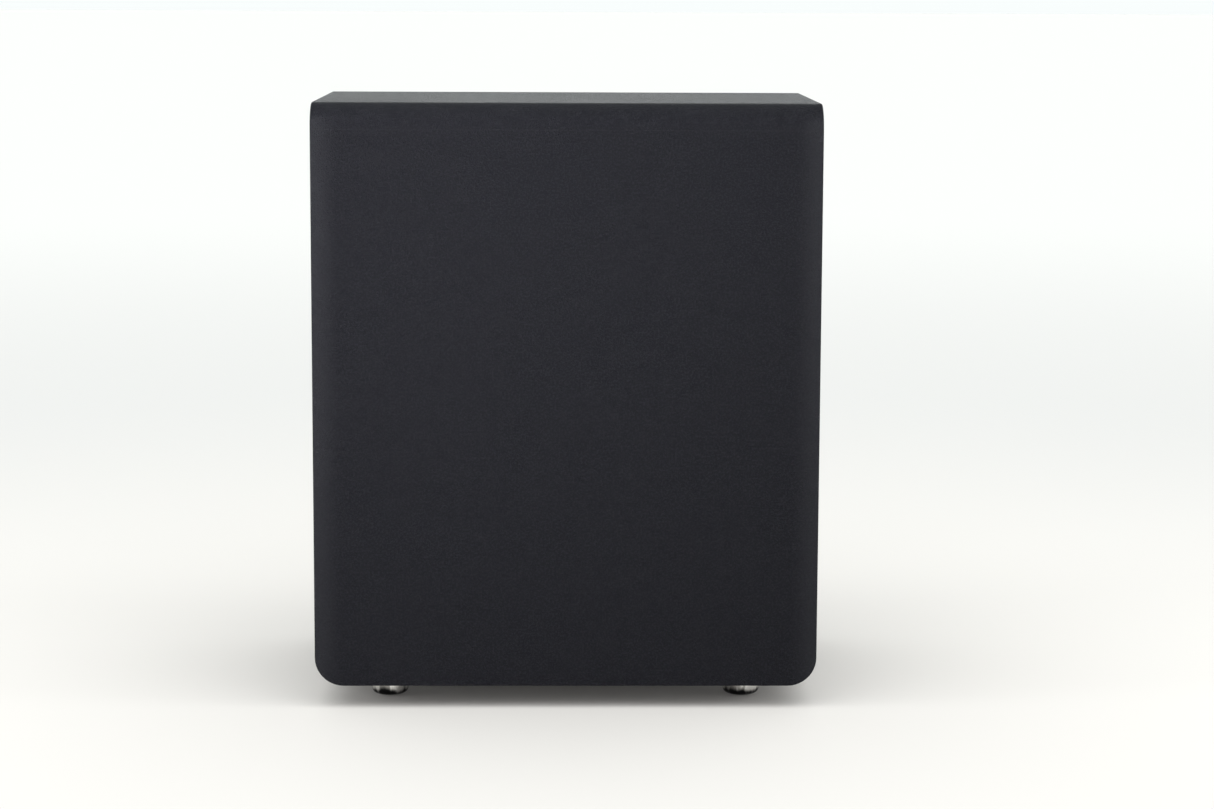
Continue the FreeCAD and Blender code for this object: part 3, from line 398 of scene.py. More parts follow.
def makeWovenCloth(name, colour, threads, centre):
    # a plain weave round the driver's axis: threads along Y and along Z
    look = Finish(name)
    here = look.mapped(look.place(), location=tuple(-value for value in centre))
    _, across, high = look.parts(here)
    warp = (across * threads).maths("SINE")
    weft = (high * threads).maths("SINE")
    fray = look.noise(here, 900.0, 3.0)
    weave = (warp * weft) * 0.5 + 0.5
    dark = tuple(value * 0.55 for value in colour)
    tone = look.mix(dark, colour, (weave * 0.8 + fray * 0.35).clamped())
    return look.set(
        colour=tone,
        roughness=0.78,
        normal=look.bump(weave + fray * 0.4, 0.0003, 0.7),
        sheen=0.2,
        sheenRoughness=0.5,
    )


def makeWadding():
    look = Finish("waddingFibre")
    here = look.place()
    fluff = look.noise(here, 130.0, 6.0, 0.75)
    strands = look.noise(look.mapped(here, rotation=(0.3, 0.5, 0.2), scale=(1, 3, 0.4)), 600.0, 4.0, 0.7)
    tone = look.mix((0.60, 0.59, 0.56), (0.86, 0.855, 0.84), (fluff * 0.6 + strands * 0.5).clamped())
    return look.set(
        colour=tone,
        roughness=0.95,
        normal=look.bump(fluff + strands, 0.002, 0.8),
        sheen=0.5,
        sheenRoughness=0.6,
    )


def makeCopper(name, pitch, axis, centre, colour=(0.72, 0.30, 0.13), roughness=0.28):
    # windings laid side by side along an axis
    look = Finish(name)
    here = look.mapped(look.place(), location=tuple(-value for value in centre))
    along = look.parts(here)[axis]
    turns = (along * (2 * math.pi / pitch)).maths("SINE") * 0.5 + 0.5
    tarnish = look.noise(here, 120.0, 3.0)
    tone = look.mix(tuple(value * 0.45 for value in colour), colour, turns * 0.8 + tarnish * 0.2)
    normal = look.bump(turns, pitch * 0.4, 0.8)
    return look.set(colour=tone, metallic=0.9, roughness=roughness, normal=normal)


def makeCircuitBoard():
    look = Finish("circuitBoard")
    here = look.place()
    lattice = look.cells(here, 130.0, "F1", 0.0)
    route = look.noise(look.mapped(here, scale=(1, 9, 60)), 3.0, 1.0)
    traces = look.steps(abs((route * 26.0).maths("FRACT") - 0.5), 0.16, 0.20)
    pads = look.cells(here, 210.0) < 0.10
    tone = look.mix((0.020, 0.110, 0.045), (0.012, 0.070, 0.030), traces)
    tone = look.mix(tone, (0.62, 0.60, 0.52), pads)
    return look.set(
        colour=tone,
        roughness=0.30 + lattice * 0.2,
        metallic=pads * 0.8,
        normal=look.bump(traces * -0.5 + pads, 0.00008, 0.6),
    )


def makeTape(centre):
    # overlapping turns of clear tape round the ring of copper
    look = Finish("windingTape")
    here = look.mapped(look.place(), location=tuple(-value for value in centre))
    _, across, high = look.parts(here)
    turn = across.maths("ARCTAN2", high)
    lap = (turn * (40 / (2 * math.pi))).maths("FRACT")
    edge = look.steps(abs(lap - 0.5), 0.44, 0.49)
    wires = (turn * 420.0).maths("SINE") * 0.5 + 0.5
    tone = look.mix((0.62, 0.33, 0.07), (0.36, 0.16, 0.035), wires)
    tone = look.mix(tone, (0.74, 0.52, 0.20), edge * 0.8)
    return look.set(
        colour=tone,
        roughness=0.24 + edge * 0.2,
        normal=look.bump(lap + wires * 0.2, 0.0004, 0.6),
        coat=0.6,
        coatRoughness=0.15,
    )


jackMiddle = 0.253  # height between the two jacks


def makeJackRings():
    # the upper ring is white and the lower one is red
    look = Finish("jackRings")
    here = look.place()
    high = look.parts(here)[2]
    swirl = look.noise(here, 400.0, 3.0)
    tone = look.mix((0.50, 0.020, 0.016), (0.78, 0.77, 0.74), high > jackMiddle)
    tone = look.mix(tone, (0.30, 0.28, 0.26), swirl * 0.12)
    normal = look.bump(swirl, 0.00002, 0.5)
    return look.set(colour=tone, roughness=0.28 + swirl * 0.1, normal=normal, coat=0.2)


def makeGlass(name, colour):
    look = Finish(name)
    smear = look.noise(look.place(), 300.0, 2.0)
    return look.set(colour=colour, roughness=0.03 + smear * 0.05, transmission=0.9, ior=1.5)


def makeLamp(name, colour):
    look = Finish(name)
    smear = look.noise(look.place(), 900.0, 2.0)
    return look.set(
        colour=colour,
        roughness=0.12 + smear * 0.1,
        emission=colour,
        glow=0.25,
        coat=0.5,
        coatRoughness=0.1,
    )


driverCentre = (-0.175, 0.0, 0.281)
transformerCentre = (0.161, 0.0, 0.172)
finishes = {
    "cabinet": makeCabinetPaint(),
    "rawBoard": makeBoard(),
    "wadding": makeWadding(),
    "footChrome": makeChrome(),
    "footRubber": makeRubber("footRubber", (0.022, 0.022, 0.022), 0.7),
    "zinc": makeMetal("zincPlate", (0.62, 0.61, 0.57), 0.36),
    "guardPaint": makeRoughPaint("guardPaint", (0.016, 0.016, 0.017), 1500.0, 0.00002, 0.42, edge=0.0006),
    "framePaint": makeRoughPaint("framePaint", (0.024, 0.024, 0.026), 1100.0, 0.00004, 0.50, edge=0.0006),
    "gasket": makeRubber("gasketFoam", (0.028, 0.028, 0.028), 0.85, 1600.0),
    "blackScrew": makeMetal("blackScrew", (0.055, 0.053, 0.050), 0.40, grime=0.3),
    "surroundRubber": makeRubber("surroundRubber", (0.016, 0.016, 0.017), 0.44),
    "coneSkin": makeConeSkin(),
    "capSkin": makeRubber("capSkin", (0.018, 0.018, 0.020), 0.36, 1500.0),
    "formerFoil": makeMetal("formerFoil", (0.78, 0.78, 0.78), 0.28, (1, 14, 14)),
    "coilWire": makeCopper("coilWire", 0.0004, 0, driverCentre),
    "spiderCloth": makeWovenCloth("spiderCloth", (0.56, 0.36, 0.10), 5200.0, driverCentre),
    "platedSteel": makeMetal("platedSteel", (0.60, 0.59, 0.56), 0.30, (1, 8, 8)),
    "ferrite": makeFerrite(),
    "stripBoard": makeRoughPaint("stripBoard", (0.22, 0.105, 0.035), 600.0, 0.00004, 0.6),
    "braid": makeCopper("braid", 0.0011, 2, driverCentre, (0.76, 0.42, 0.22), 0.36),
    "portPlastic": makeRoughPaint("portPlastic", (0.013, 0.013, 0.014), 1300.0, 0.00002, 0.46, edge=0.0005),
    "knobPlastic": makeRoughPaint("knobPlastic", (0.014, 0.014, 0.015), 1700.0, 0.00001, 0.42, edge=0.0004),
    "partPlastic": makeSmoothPlastic("partPlastic", (0.020, 0.020, 0.021), 0.38),
    "leverPlastic": makeSmoothPlastic("leverPlastic", (0.030, 0.030, 0.031), 0.45),
    "jackMetal": makeMetal("jackMetal", (0.83, 0.64, 0.30), 0.18, grime=0.05),
    "pinMetal": makeMetal("pinMetal", (0.72, 0.70, 0.66), 0.20, grime=0.05),
    "light": makeLamp("statusLens", (0.06, 0.55, 0.16)),
    "sinkMetal": makeMetal("sinkMetal", (0.040, 0.040, 0.042), 0.36, (1, 1, 0.05), 0.08, 0.00003, 900.0),
    "circuitBoard": makeCircuitBoard(),
    "canSleeve": makeSmoothPlastic("canSleeve", (0.016, 0.020, 0.052), 0.25, 0.4),
    "canTop": makeMetal("canTop", (0.80, 0.80, 0.80), 0.24),
    "tape": makeTape(transformerCentre),
    "fuseGlass": makeGlass("fuseGlass", (0.93, 0.95, 0.95)),
    "rocker": makeSmoothPlastic("rockerPlastic", (0.012, 0.012, 0.012), 0.20, 0.3),
    "leadRed": makeRubber("leadRed", (0.36, 0.018, 0.014), 0.42),
    "leadBlack": makeRubber("leadBlack", (0.014, 0.014, 0.014), 0.42),
    "nylon": makeSmoothPlastic("nylon", (0.72, 0.70, 0.64), 0.42),
    "jackRings": makeJackRings(),
    "canStripe": makeSmoothPlastic("canStripe", (0.50, 0.52, 0.58), 0.30, 0.3),
    "filmBox": makeSmoothPlastic("filmBox", (0.42, 0.060, 0.022), 0.34, 0.2),
    "resistorBody": makeSmoothPlastic("resistorBody", (0.16, 0.34, 0.46), 0.36, 0.3),
    "print": makeSmoothPlastic("panelPrint", (0.62, 0.62, 0.60), 0.55),
}
finishes["plate"] = makeRoughPaint("platePaint", (0.018, 0.018, 0.019), 900.0, 0.00006, 0.50, edge=0.0005)

nodeFinish = {
    "near_side_panel": "cabinet", "far_side_panel": "cabinet",
    "top_panel": "cabinet", "bottom_panel": "cabinet",
    "front_baffle": "cabinet", "rear_panel": "cabinet", "window_brace": "rawBoard",
    "driver_backing_ring": "rawBoard", "rear_batten_frame": "rawBoard", "wadding": "wadding",
    "foot_shells": "footChrome", "foot_pads": "footRubber", "foot_bolts": "zinc", "foot_inserts": "zinc",
    "driver_guard": "guardPaint", "driver_frame": "framePaint", "driver_gasket": "gasket",
    "driver_screws": "blackScrew", "surround": "surroundRubber", "cone": "coneSkin", "dust_cap": "capSkin",
    "coil_former": "formerFoil", "coil_winding": "coilWire", "spider": "spiderCloth",
    "magnet_top_plate": "platedSteel", "magnet": "ferrite", "pole_yoke": "platedSteel",
    "terminal_strip": "stripBoard", "tinsel_leads": "braid", "port_flare": "portPlastic",
    "port_tube": "portPlastic", "amp_plate": "plate", "amp_gasket": "gasket", "amp_screws": "blackScrew",
    "level_knob": "knobPlastic", "crossover_knob": "knobPlastic", "control_pots": "zinc",
    "slide_switch_bodies": "partPlastic", "phase_lever": "leverPlastic", "mode_lever": "leverPlastic",
    "jack_shells": "jackMetal", "jack_insulators": "jackRings", "jack_block": "partPlastic",
    "status_light": "light", "heat_sink": "sinkMetal", "amp_board": "circuitBoard",
    "board_standoffs": "zinc", "capacitors": "canSleeve", "output_devices": "partPlastic",
    "lead_socket": "nylon", "transformer": "tape", "transformer_clamp": "zinc",
    "inlet_housing": "partPlastic", "inlet_pins": "pinMetal", "fuse_drawer": "partPlastic",
    "fuse": "fuseGlass", "rocker_housing": "partPlastic", "rocker_cap": "rocker",
    "speaker_leads": "leadRed", "lead_clip": "nylon",
}
for node, finish in nodeFinish.items():
    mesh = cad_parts[node].data
    mesh.materials.clear()
    mesh.materials.append(finishes[finish])
print("finishes made:", len(finishes))
driverAxis = (1, 0, 0)
ampAxis = (-1, 0, 0)
ampFace = 0.175  # where depths on the amplifier's side start
mergeDistance = 1e-7


def wireProfile(form, outline, centre, axis, segments):
    # a closed wire of (along, radius, rounding) corners beside an axis
    axis = Vector(axis)
    across = Vector((0, 0, 1)) if abs(axis.z) < 0.5 else Vector((1, 0, 0))
    corners = [form.verts.new(Vector(centre) + axis * step[0] + across * step[1]) for step in outline]
    for first, second in zip(corners, corners[1:] + corners[:1]):
        form.edges.new((first, second))
    for corner, step in zip(corners, outline):
        if len(step) > 2:
            bmesh.ops.bevel(form, geom=[corner], offset=step[2], offset_type="OFFSET", segments=segments,
                            profile=0.5, affect="VERTICES", material=-1)


def lathe(form, outline, centre, axis, turns, segments=4, material=0):
    # spins an outline right round its axis
    wireProfile(form, outline, centre, axis, segments)
    verts = [vert for vert in form.verts if not vert.link_faces]
    edges = [edge for edge in form.edges if not edge.link_faces]
    known = set(form.faces)
    bmesh.ops.spin(form, geom=verts + edges, cent=centre, axis=axis, angle=math.tau, steps=turns,
                   use_merge=True)
    for face in form.faces:
        if face not in known:
            face.material_index = material


def slab(form, low, high, rounding=0.0, segments=2, material=0, turn=None):
    # a box between two corners, with rounded edges
    size = [b - a for a, b in zip(low, high)]
    middle = [(a + b) / 2 for a, b in zip(low, high)]
    place = (turn or Matrix.Identity(4)) @ Matrix.Translation(middle) @ Matrix.Diagonal((*size, 1))
    made = bmesh.ops.create_cube(form, size=1.0, matrix=place)
    faces = list({face for vert in made["verts"] for face in vert.link_faces})
    edges = list({edge for vert in made["verts"] for edge in vert.link_edges})
    for face in faces:
        face.material_index = material
    if rounding:
        bmesh.ops.bevel(form, geom=edges, offset=rounding, offset_type="OFFSET", segments=segments,
                        profile=0.5, affect="EDGES", material=-1)


def about(place, angle, axis):
    # a turn about a line through a place
    return Matrix.Translation(place) @ Matrix.Rotation(angle, 4, axis) @ Matrix.Translation(-Vector(place))


def closePoles(form):
    bmesh.ops.remove_doubles(form, verts=form.verts, dist=mergeDistance)


def finished(form, name, looks, crease=38.0):
    # closes the poles, turns the faces outwards and makes the object
    closePoles(form)
    bmesh.ops.dissolve_degenerate(form, dist=mergeDistance, edges=form.edges)
    bmesh.ops.recalc_face_normals(form, faces=form.faces)
    mesh = bpy.data.meshes.new(name)
    form.to_mesh(mesh)
    form.free()
    for look in looks:
        mesh.materials.append(finishes[look])
    mesh.shade_smooth()
    mesh.set_sharp_from_angle(angle=math.radians(crease))
    piece = bpy.data.objects.new(name, mesh)
    bpy.context.collection.objects.link(piece)
    return piece


def fitted(piece, body, slot, *nodes):
    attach(piece, body)
    if nodes:
        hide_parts(*nodes)


def bendRadially(piece, centre, stillRadius, movingRadius, node):
    # the rim stays on the cabinet and the middle goes with the cone
    middle = Vector(centre)
    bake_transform(piece, "cabinet", "cone_assembly", start=middle + Vector((0, 0, stillRadius)),
             end=middle + Vector((0, 0, movingRadius)))
    share = piece.data.attributes["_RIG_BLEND"].data
    for vert, item in zip(piece.data.vertices, share):
        radius = math.hypot(vert.co.y - middle.y, vert.co.z - middle.z)
        part = min(1.0, max(0.0, (stillRadius - radius) / (stillRadius - movingRadius)))
        item.value = part * part * (3 - 2 * part)
    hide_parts(node)


def leadMesh(name, points, radius, look):
    # a round lead along one smooth spline
    curve = bpy.data.curves.new(name + "Route", "CURVE")
    curve.dimensions = "3D"
    curve.bevel_depth = radius
    curve.bevel_resolution = 3
    curve.use_fill_caps = True
    curve.resolution_u = 12
    spline = curve.splines.new("NURBS")
    spline.points.add(len(points) - 1)
    for item, place in zip(spline.points, points):
        item.co = (*place, 1.0)
    spline.order_u = 3
    spline.use_endpoint_u = True
    source = bpy.data.objects.new(name + "Route", curve)
    mesh = bpy.data.meshes.new_from_object(source)
    bpy.data.objects.remove(source)
    form = bmesh.new()
    form.from_mesh(mesh)
    bpy.data.meshes.remove(mesh)
    return finished(form, name, [look], 60.0)


# driver guard: pressed rim, rings, spokes and hub
guardShape = {
    "thickness": 0.0018,
    "softness": 0.42,
    "outer": 0.0927,
    "inner": 0.0860,
    "skirtDepth": 0.0076,
    "skirtWall": 0.0015,
    "rings": (0.026, 0.038, 0.050, 0.062, 0.074),
    "wire": 0.0024,
    "hub": 0.015,
    "spokes": 6,
    "spokeWidth": 0.0034,
    "rimRound": 0.0011,
    "hubRound": 0.0007,
    "weld": 0.001,
}


def makeGuard():
    shape = guardShape
    thick = shape["thickness"]
    soft = thick * shape["softness"]
    form = bmesh.new()
    depth, outer = shape["skirtDepth"], shape["outer"]
    skirtInner = outer - shape["skirtWall"]
    rim = [
        (0.0, shape["inner"], soft), (0.0, outer, shape["rimRound"]), (depth, outer, 0.0004),
        (depth, skirtInner, 0.0004), (thick, skirtInner, 0.0003), (thick, shape["inner"], soft),
    ]
    lathe(form, rim, driverCentre, driverAxis, 128)
    for radius in shape["rings"]:
        low = radius - shape["wire"] / 2
        high = radius + shape["wire"] / 2
        ring = [(0.0, low, soft), (0.0, high, soft), (thick, high, soft), (thick, low, soft)]
        lathe(form, ring, driverCentre, driverAxis, 96, segments=3)
    radius, rounding = shape["hub"], shape["hubRound"]
    hub = [(0.0, 0.0), (0.0, radius, rounding), (thick, radius, rounding), (thick, 0.0)]
    lathe(form, hub, driverCentre, driverAxis, 72)
    x, y, z = driverCentre
    half = shape["spokeWidth"] / 2
    low = z + shape["hub"] - shape["weld"]
    high = z + shape["inner"] + shape["weld"]
    for index in range(shape["spokes"]):
        turn = about(driverCentre, math.tau * index / shape["spokes"], "X")
        slab(form, (x, y - half, low), (x + thick, y + half, high), soft, 3, turn=turn)
    fitted(finished(form, "driverGuard", ["guardPaint"]), "guard", "guard_paint", "driver_guard")


# surround: a rubber half roll with a glued lip each side
surroundShape = {
    "ledge": 0.017,
    "thickness": 0.0010,
    "inner": 0.060,
    "outer": 0.074,
    "innerLip": 0.0560,
    "outerLip": 0.0774,
    "rise": 0.0074,
    "turns": 160,
}


def makeSurround():
    shape = surroundShape
    back = shape["ledge"]
    front = back - shape["thickness"]
    half = shape["thickness"] / 2
    roll = (shape["outer"] - shape["inner"]) / 2
    crown = front - shape["rise"] + half
    inside, outside = shape["inner"], shape["outer"]
    hollow, inner = crown + 2 * half, roll - 2 * half
    outline = [
        (front, shape["innerLip"], 0.0003), (front, inside - half, 0.0012), (crown, inside - half, roll),
        (crown, outside + half, roll), (front, outside + half, 0.0012), (front, shape["outerLip"], 0.0003),
        (back, shape["outerLip"]), (back, outside - half, 0.0005), (hollow, outside - half, inner),
        (hollow, inside + half, inner), (back, inside + half, 0.0005), (back, shape["innerLip"]),
    ]
    form = bmesh.new()
    lathe(form, outline, driverCentre, driverAxis, shape["turns"], segments=10)
    piece = finished(form, "surroundRoll", ["surroundRubber"], 50.0)
    bendRadially(piece, driverCentre, outside, inside, "surround")


# spider: a corrugated cloth disc
spiderShape = {
    "depth": 0.0536,
    "thickness": 0.0007,
    "neck": 0.0187,
    "waveStart": 0.0226,
    "wavePitch": 0.0040,
    "waves": 6,
    "rise": 0.0016,
    "rim": 0.0539,
    "turns": 120,
    "stillRadius": 0.0470,
    "movingRadius": 0.0215,
}


def makeSpider():
    shape = spiderShape
    depth = shape["depth"]
    line = [(depth, shape["neck"]), (depth, shape["waveStart"], 0.0008)]
    for index in range(shape["waves"]):
        side = -1 if index % 2 == 0 else 1
        radius = shape["waveStart"] + (index + 0.5) * shape["wavePitch"]
        line.append((depth + side * shape["rise"], radius, 0.0014))
    line.append((depth, shape["waveStart"] + shape["waves"] * shape["wavePitch"], 0.0008))
    line.append((depth, shape["rim"]))
    half = shape["thickness"] / 2
    front = [(step[0] - half, *step[1:]) for step in line]
    back = [(step[0] + half, *step[1:]) for step in reversed(line)]
    form = bmesh.new()
    lathe(form, front + back, driverCentre, driverAxis, shape["turns"], segments=4)
    piece = finished(form, "spiderDisc", ["spiderCloth"], 70.0)
    bendRadially(piece, driverCentre, shape["stillRadius"], shape["movingRadius"], "spider")


# leads: two limp braids to the cone, and the red and black pair to the amplifier
tinselShape = {
    "y": 0.012,
    "radius": 0.0008,
    # depth behind the baffle's face and distance above the driver's axis
    "route": ((0.0570, 0.0640), (0.0500, 0.0640), (0.0390, 0.0625), (0.0352, 0.0540), (0.0352, 0.0440),
              (0.0330, 0.0402), (0.0292, 0.0398)),
    "stillHeight": 0.0625,
    "movingHeight": 0.0425,
}
speakerLeadShape = {
    "y": 0.012,
    "radius": 0.0016,
    # x and height
    "route": ((0.1394, 0.2400), (0.1300, 0.2400), (0.1114, 0.2405), (0.1112, 0.2620), (0.1122, 0.3100),
              (0.1112, 0.3540), (0.1108, 0.3742), (0.0900, 0.3742), (0.0620, 0.3738), (0.0360, 0.3740),
              (0.0240, 0.3740), (-0.0200, 0.3736), (-0.0700, 0.3742), (-0.1138, 0.3742), (-0.1140, 0.3560),
              (-0.1140, 0.3430)),
}


def makeLeads():
    x, _, z = driverCentre
    for side, name in ((-1, "tinselLeadNear"), (1, "tinselLeadFar")):
        y = side * tinselShape["y"]
        route = [(x + depth, y, z + high) for depth, high in tinselShape["route"]]
        lead = leadMesh(name, route, tinselShape["radius"], "braid")
        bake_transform(lead, "cabinet", "cone_assembly", start=(x, y, z + tinselShape["stillHeight"]),
                 end=(x, y, z + tinselShape["movingHeight"]))
        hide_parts("tinsel_leads")
    for side, name, look in ((-1, "speakerLeadRed", "leadRed"), (1, "speakerLeadBlack", "leadBlack")):
        y = side * speakerLeadShape["y"]
        route = [(along, y, high) for along, high in speakerLeadShape["route"]]
        lead = leadMesh(name, route, speakerLeadShape["radius"], look)
        fitted(lead, "cabinet", "lead_sleeve", "speaker_leads")


# knobs: a fluted skirt, a dished top and a white pointer
knobShape = {
    "row": 0.284,
    "spacing": 0.076,
    "flutes": 48,
    "fluteDepth": 0.00034,
    "outline": (
        (0.0017, 0.0), (0.0017, 0.0084, 0.0006), (0.0014, 0.0094, 0.0003), (0.0014, 0.0108, 0.0009),
        (0.0030, 0.01125), (0.0033, 0.0113), (0.0090, 0.0119), (0.0093, 0.0119), (0.0106, 0.0120, 0.0003),
        (0.0106, 0.0086), (0.0056, 0.0086), (0.0056, 0.0030), (0.0180, 0.0030), (0.0180, 0.0),
    ),
    "fluteSpan": (0.0032, 0.0091),
    "fluteFrom": 0.0105,
    "pointer": (0.00055, 0.0058, 0.0104),
    "pointerDepth": (0.0019, 0.00125),
}


def makeKnob(name, side, body, node):
    shape = knobShape
    centre = Vector((ampFace, side * shape["spacing"] / 2, shape["row"]))
    form = bmesh.new()
    steps = shape["flutes"] * 2
    lathe(form, shape["outline"], centre, ampAxis, steps, segments=4)
    closePoles(form)
    low, high = shape["fluteSpan"]
    for vert in form.verts:
        away = vert.co - centre
        radius = math.hypot(away.y, away.z)
        if low < -away.x < high and radius > shape["fluteFrom"]:
            if round(math.atan2(away.y, away.z) / math.tau * steps) % 2:
                pinch = 1 - shape["fluteDepth"] / radius
                vert.co.y = centre.y + away.y * pinch
                vert.co.z = centre.z + away.z * pinch
    half, start, end = shape["pointer"]
    deep, shallow = shape["pointerDepth"]
    slab(form, (ampFace - deep, centre.y - half, centre.z + start),
         (ampFace - shallow, centre.y + half, centre.z + end), 0.00015, material=1)
    fitted(finished(form, name, ["knobPlastic", "print"], 34.0), body, "knob_plastic", node)


# printing on the amplifier's plate: dial ticks, numbers and rules
printShape = {
    "plateDepth": 0.011,
    "ink": 0.00005,
    "tickInner": 0.0142,
    "tickOuter": (0.0158, 0.0170),
    "tickWidth": 0.00035,
    "sweep": 150.0,
    "ticks": 11,
    "numberRadius": 0.0200,
    "numberSize": 0.0040,
    "smallSize": 0.0032,
    "numbers": {
        -1: (("0", -150.0), ("5", 0.0), ("10", 150.0)),
        1: (("50", -150.0), ("100", 0.0), ("150", 150.0)),
    },
    "smallNumbers": (
        ("0", -0.0480, 0.2380), ("180", -0.0350, 0.2380), ("1", 0.0350, 0.2380), ("2", 0.0420, 0.2380),
        ("3", 0.0490, 0.2380), ("1", 0.0105, 0.2630), ("2", 0.0105, 0.2430),
    ),
    "frame": (0.0700, 0.2310, 0.3255),
    "lowerFrame": (0.0700, 0.0715, 0.1200),
}


def addNumber(form, words, y, z, size):
    curve = bpy.data.curves.new("number", "FONT")
    curve.body = words
    curve.size = size
    curve.extrude = printShape["ink"]
    curve.align_x = "CENTER"
    curve.align_y = "CENTER"
    source = bpy.data.objects.new("number", curve)
    mesh = bpy.data.meshes.new_from_object(source)
    bpy.data.objects.remove(source)
    upright = Matrix(((0, 0, 1, 0), (1, 0, 0, 0), (0, 1, 0, 0), (0, 0, 0, 1)))
    mesh.transform(Matrix.Translation((ampFace - printShape["plateDepth"], y, z)) @ upright)
    form.from_mesh(mesh)
    bpy.data.meshes.remove(mesh)


def addRule(form, y0, z0, y1, z1, width):
    x = ampFace - printShape["plateDepth"]
    ink = printShape["ink"]
    slab(form, (x - ink, min(y0, y1) - width / 2, min(z0, z1) - width / 2),
         (x + ink, max(y0, y1) + width / 2, max(z0, z1) + width / 2))


def makePanelPrint():
    shape = printShape
    form = bmesh.new()
    x = ampFace - shape["plateDepth"]
    ink = shape["ink"]
    half = shape["tickWidth"] / 2
    for side in (-1, 1):
        y = side * knobShape["spacing"] / 2
        z = knobShape["row"]
        for index in range(shape["ticks"]):
            angle = math.radians(shape["sweep"] * (2 * index / (shape["ticks"] - 1) - 1))
            reach = shape["tickOuter"][1 if index % 5 == 0 else 0]
            slab(form, (x - ink, y - half, z + shape["tickInner"]), (x + ink, y + half, z + reach),
                 turn=about((x, y, z), -angle, "X"))
        for words, angle in shape["numbers"][side]:
            turn = math.radians(angle)
            addNumber(form, words, y + shape["numberRadius"] * math.sin(turn),
                      z + shape["numberRadius"] * math.cos(turn), shape["numberSize"])
    for words, y, z in shape["smallNumbers"]:
        addNumber(form, words, y, z, shape["smallSize"])
    for edge, low, high in (shape["frame"], shape["lowerFrame"]):
        for z in (low, high):
            addRule(form, -edge, z, edge, z, shape["tickWidth"])
        for y in (-edge, edge):
            addRule(form, y, low, y, high, shape["tickWidth"])
    for face in form.faces:
        face.material_index = 0
    fitted(finished(form, "panelPrint", ["print"]), "cabinet", "plate_paint")


# marks on the rocker: a bar and a ring
rockerShape = {
    "place": (0.038, 0.095),
    "pivotDepth": 0.0145,
    "tilt": -7.0,
    "faceSlope": 10.1,
    "faceDepth": 0.0081,
    "markHeight": 0.0050,
    "ink": (0.0002, 0.00012),
    "bar": (0.0004, 0.0016),
    "ring": (0.0012, 0.0018),
}


def makeRockerMarks():
    shape = rockerShape
    y, z = shape["place"]
    face = ampFace - shape["faceDepth"]
    high, low = z + shape["markHeight"], z - shape["markHeight"]
    slope = math.radians(shape["faceSlope"])
    sunk, proud = shape["ink"]
    inner, outer = shape["ring"]
    form = bmesh.new()
    outline = [(-sunk, inner), (-sunk, outer), (proud, outer), (proud, inner)]
    lathe(form, outline, (face, y, low), driverAxis, 32)
    bmesh.ops.transform(form, matrix=about((face, y, low), -slope, "Y"), verts=form.verts)
    half, reach = shape["bar"]
    slab(form, (face - sunk, y - half, high - reach), (face + proud, y + half, high + reach), 0.0001,
         turn=about((face, y, high), slope, "Y"))
    pivot = (ampFace - shape["pivotDepth"], y, z)
    bmesh.ops.transform(form, matrix=about(pivot, math.radians(shape["tilt"]), "Y"), verts=form.verts)
    fitted(finished(form, "rockerMarks", ["print"]), "power_rocker", "rocker_plastic")


# capacitors: sleeved cans with a pale stripe and a scored end
canShape = {
    "places": ((-0.044, 0.300), (0.044, 0.300)),
    "start": 0.0256,
    "length": 0.0350,
    "radius": 0.0125,
    "stripe": 26.0,
    "topRim": 0.0023,
    "scores": (0.00015, 0.00045, 0.0002, 0.62),  # depths, half width, share of the radius
}


def makeCapacitors():
    shape = canShape
    form = bmesh.new()
    start, end, radius = shape["start"], shape["start"] + shape["length"], shape["radius"]
    rim = radius - shape["topRim"]
    low, high, half, reach = shape["scores"]
    reach *= radius
    sleeve, top, stripe, score = range(4)
    for y, z in shape["places"]:
        centre = Vector((ampFace, y, z))
        outline = [
            (start, 0.0), (start, radius - 0.0008, 0.0005), (start + 0.0030, radius - 0.0002, 0.0006),
            (start + 0.0042, radius - 0.0012, 0.0007), (start + 0.0054, radius, 0.0006),
            (end, radius, 0.0012), (end, radius - 0.0022, 0.0002), (end - 0.0004, rim), (end - 0.0004, 0.0),
        ]
        lathe(form, outline, centre, ampAxis, 72)
        for angle in (0.5, 0.5 + math.pi / 3, 0.5 + 2 * math.pi / 3):
            slab(form, (ampFace - end + low, y - half, z - reach),
                 (ampFace - end + high, y + half, z + reach), material=score, turn=about(centre, angle, "X"))
    closePoles(form)
    for face in form.faces:
        if face.material_index == score:
            continue
        middle = face.calc_center_median()
        y, z = min(shape["places"], key=lambda place: abs(place[0] - middle.y))
        across = math.hypot(middle.y - y, middle.z - z)
        turn = abs(math.degrees(math.atan2(middle.y - y, middle.z - z)))
        if ampFace - middle.x > end - 0.0006 and across < rim:
            face.material_index = top
        elif across > radius * 0.9 and turn < shape["stripe"]:
            face.material_index = stripe
        else:
            face.material_index = sleeve
    piece = finished(form, "powerCapacitors", ["canSleeve", "canTop", "canStripe", "blackScrew"])
    fitted(piece, "cabinet", "can_sleeve", "capacitors")


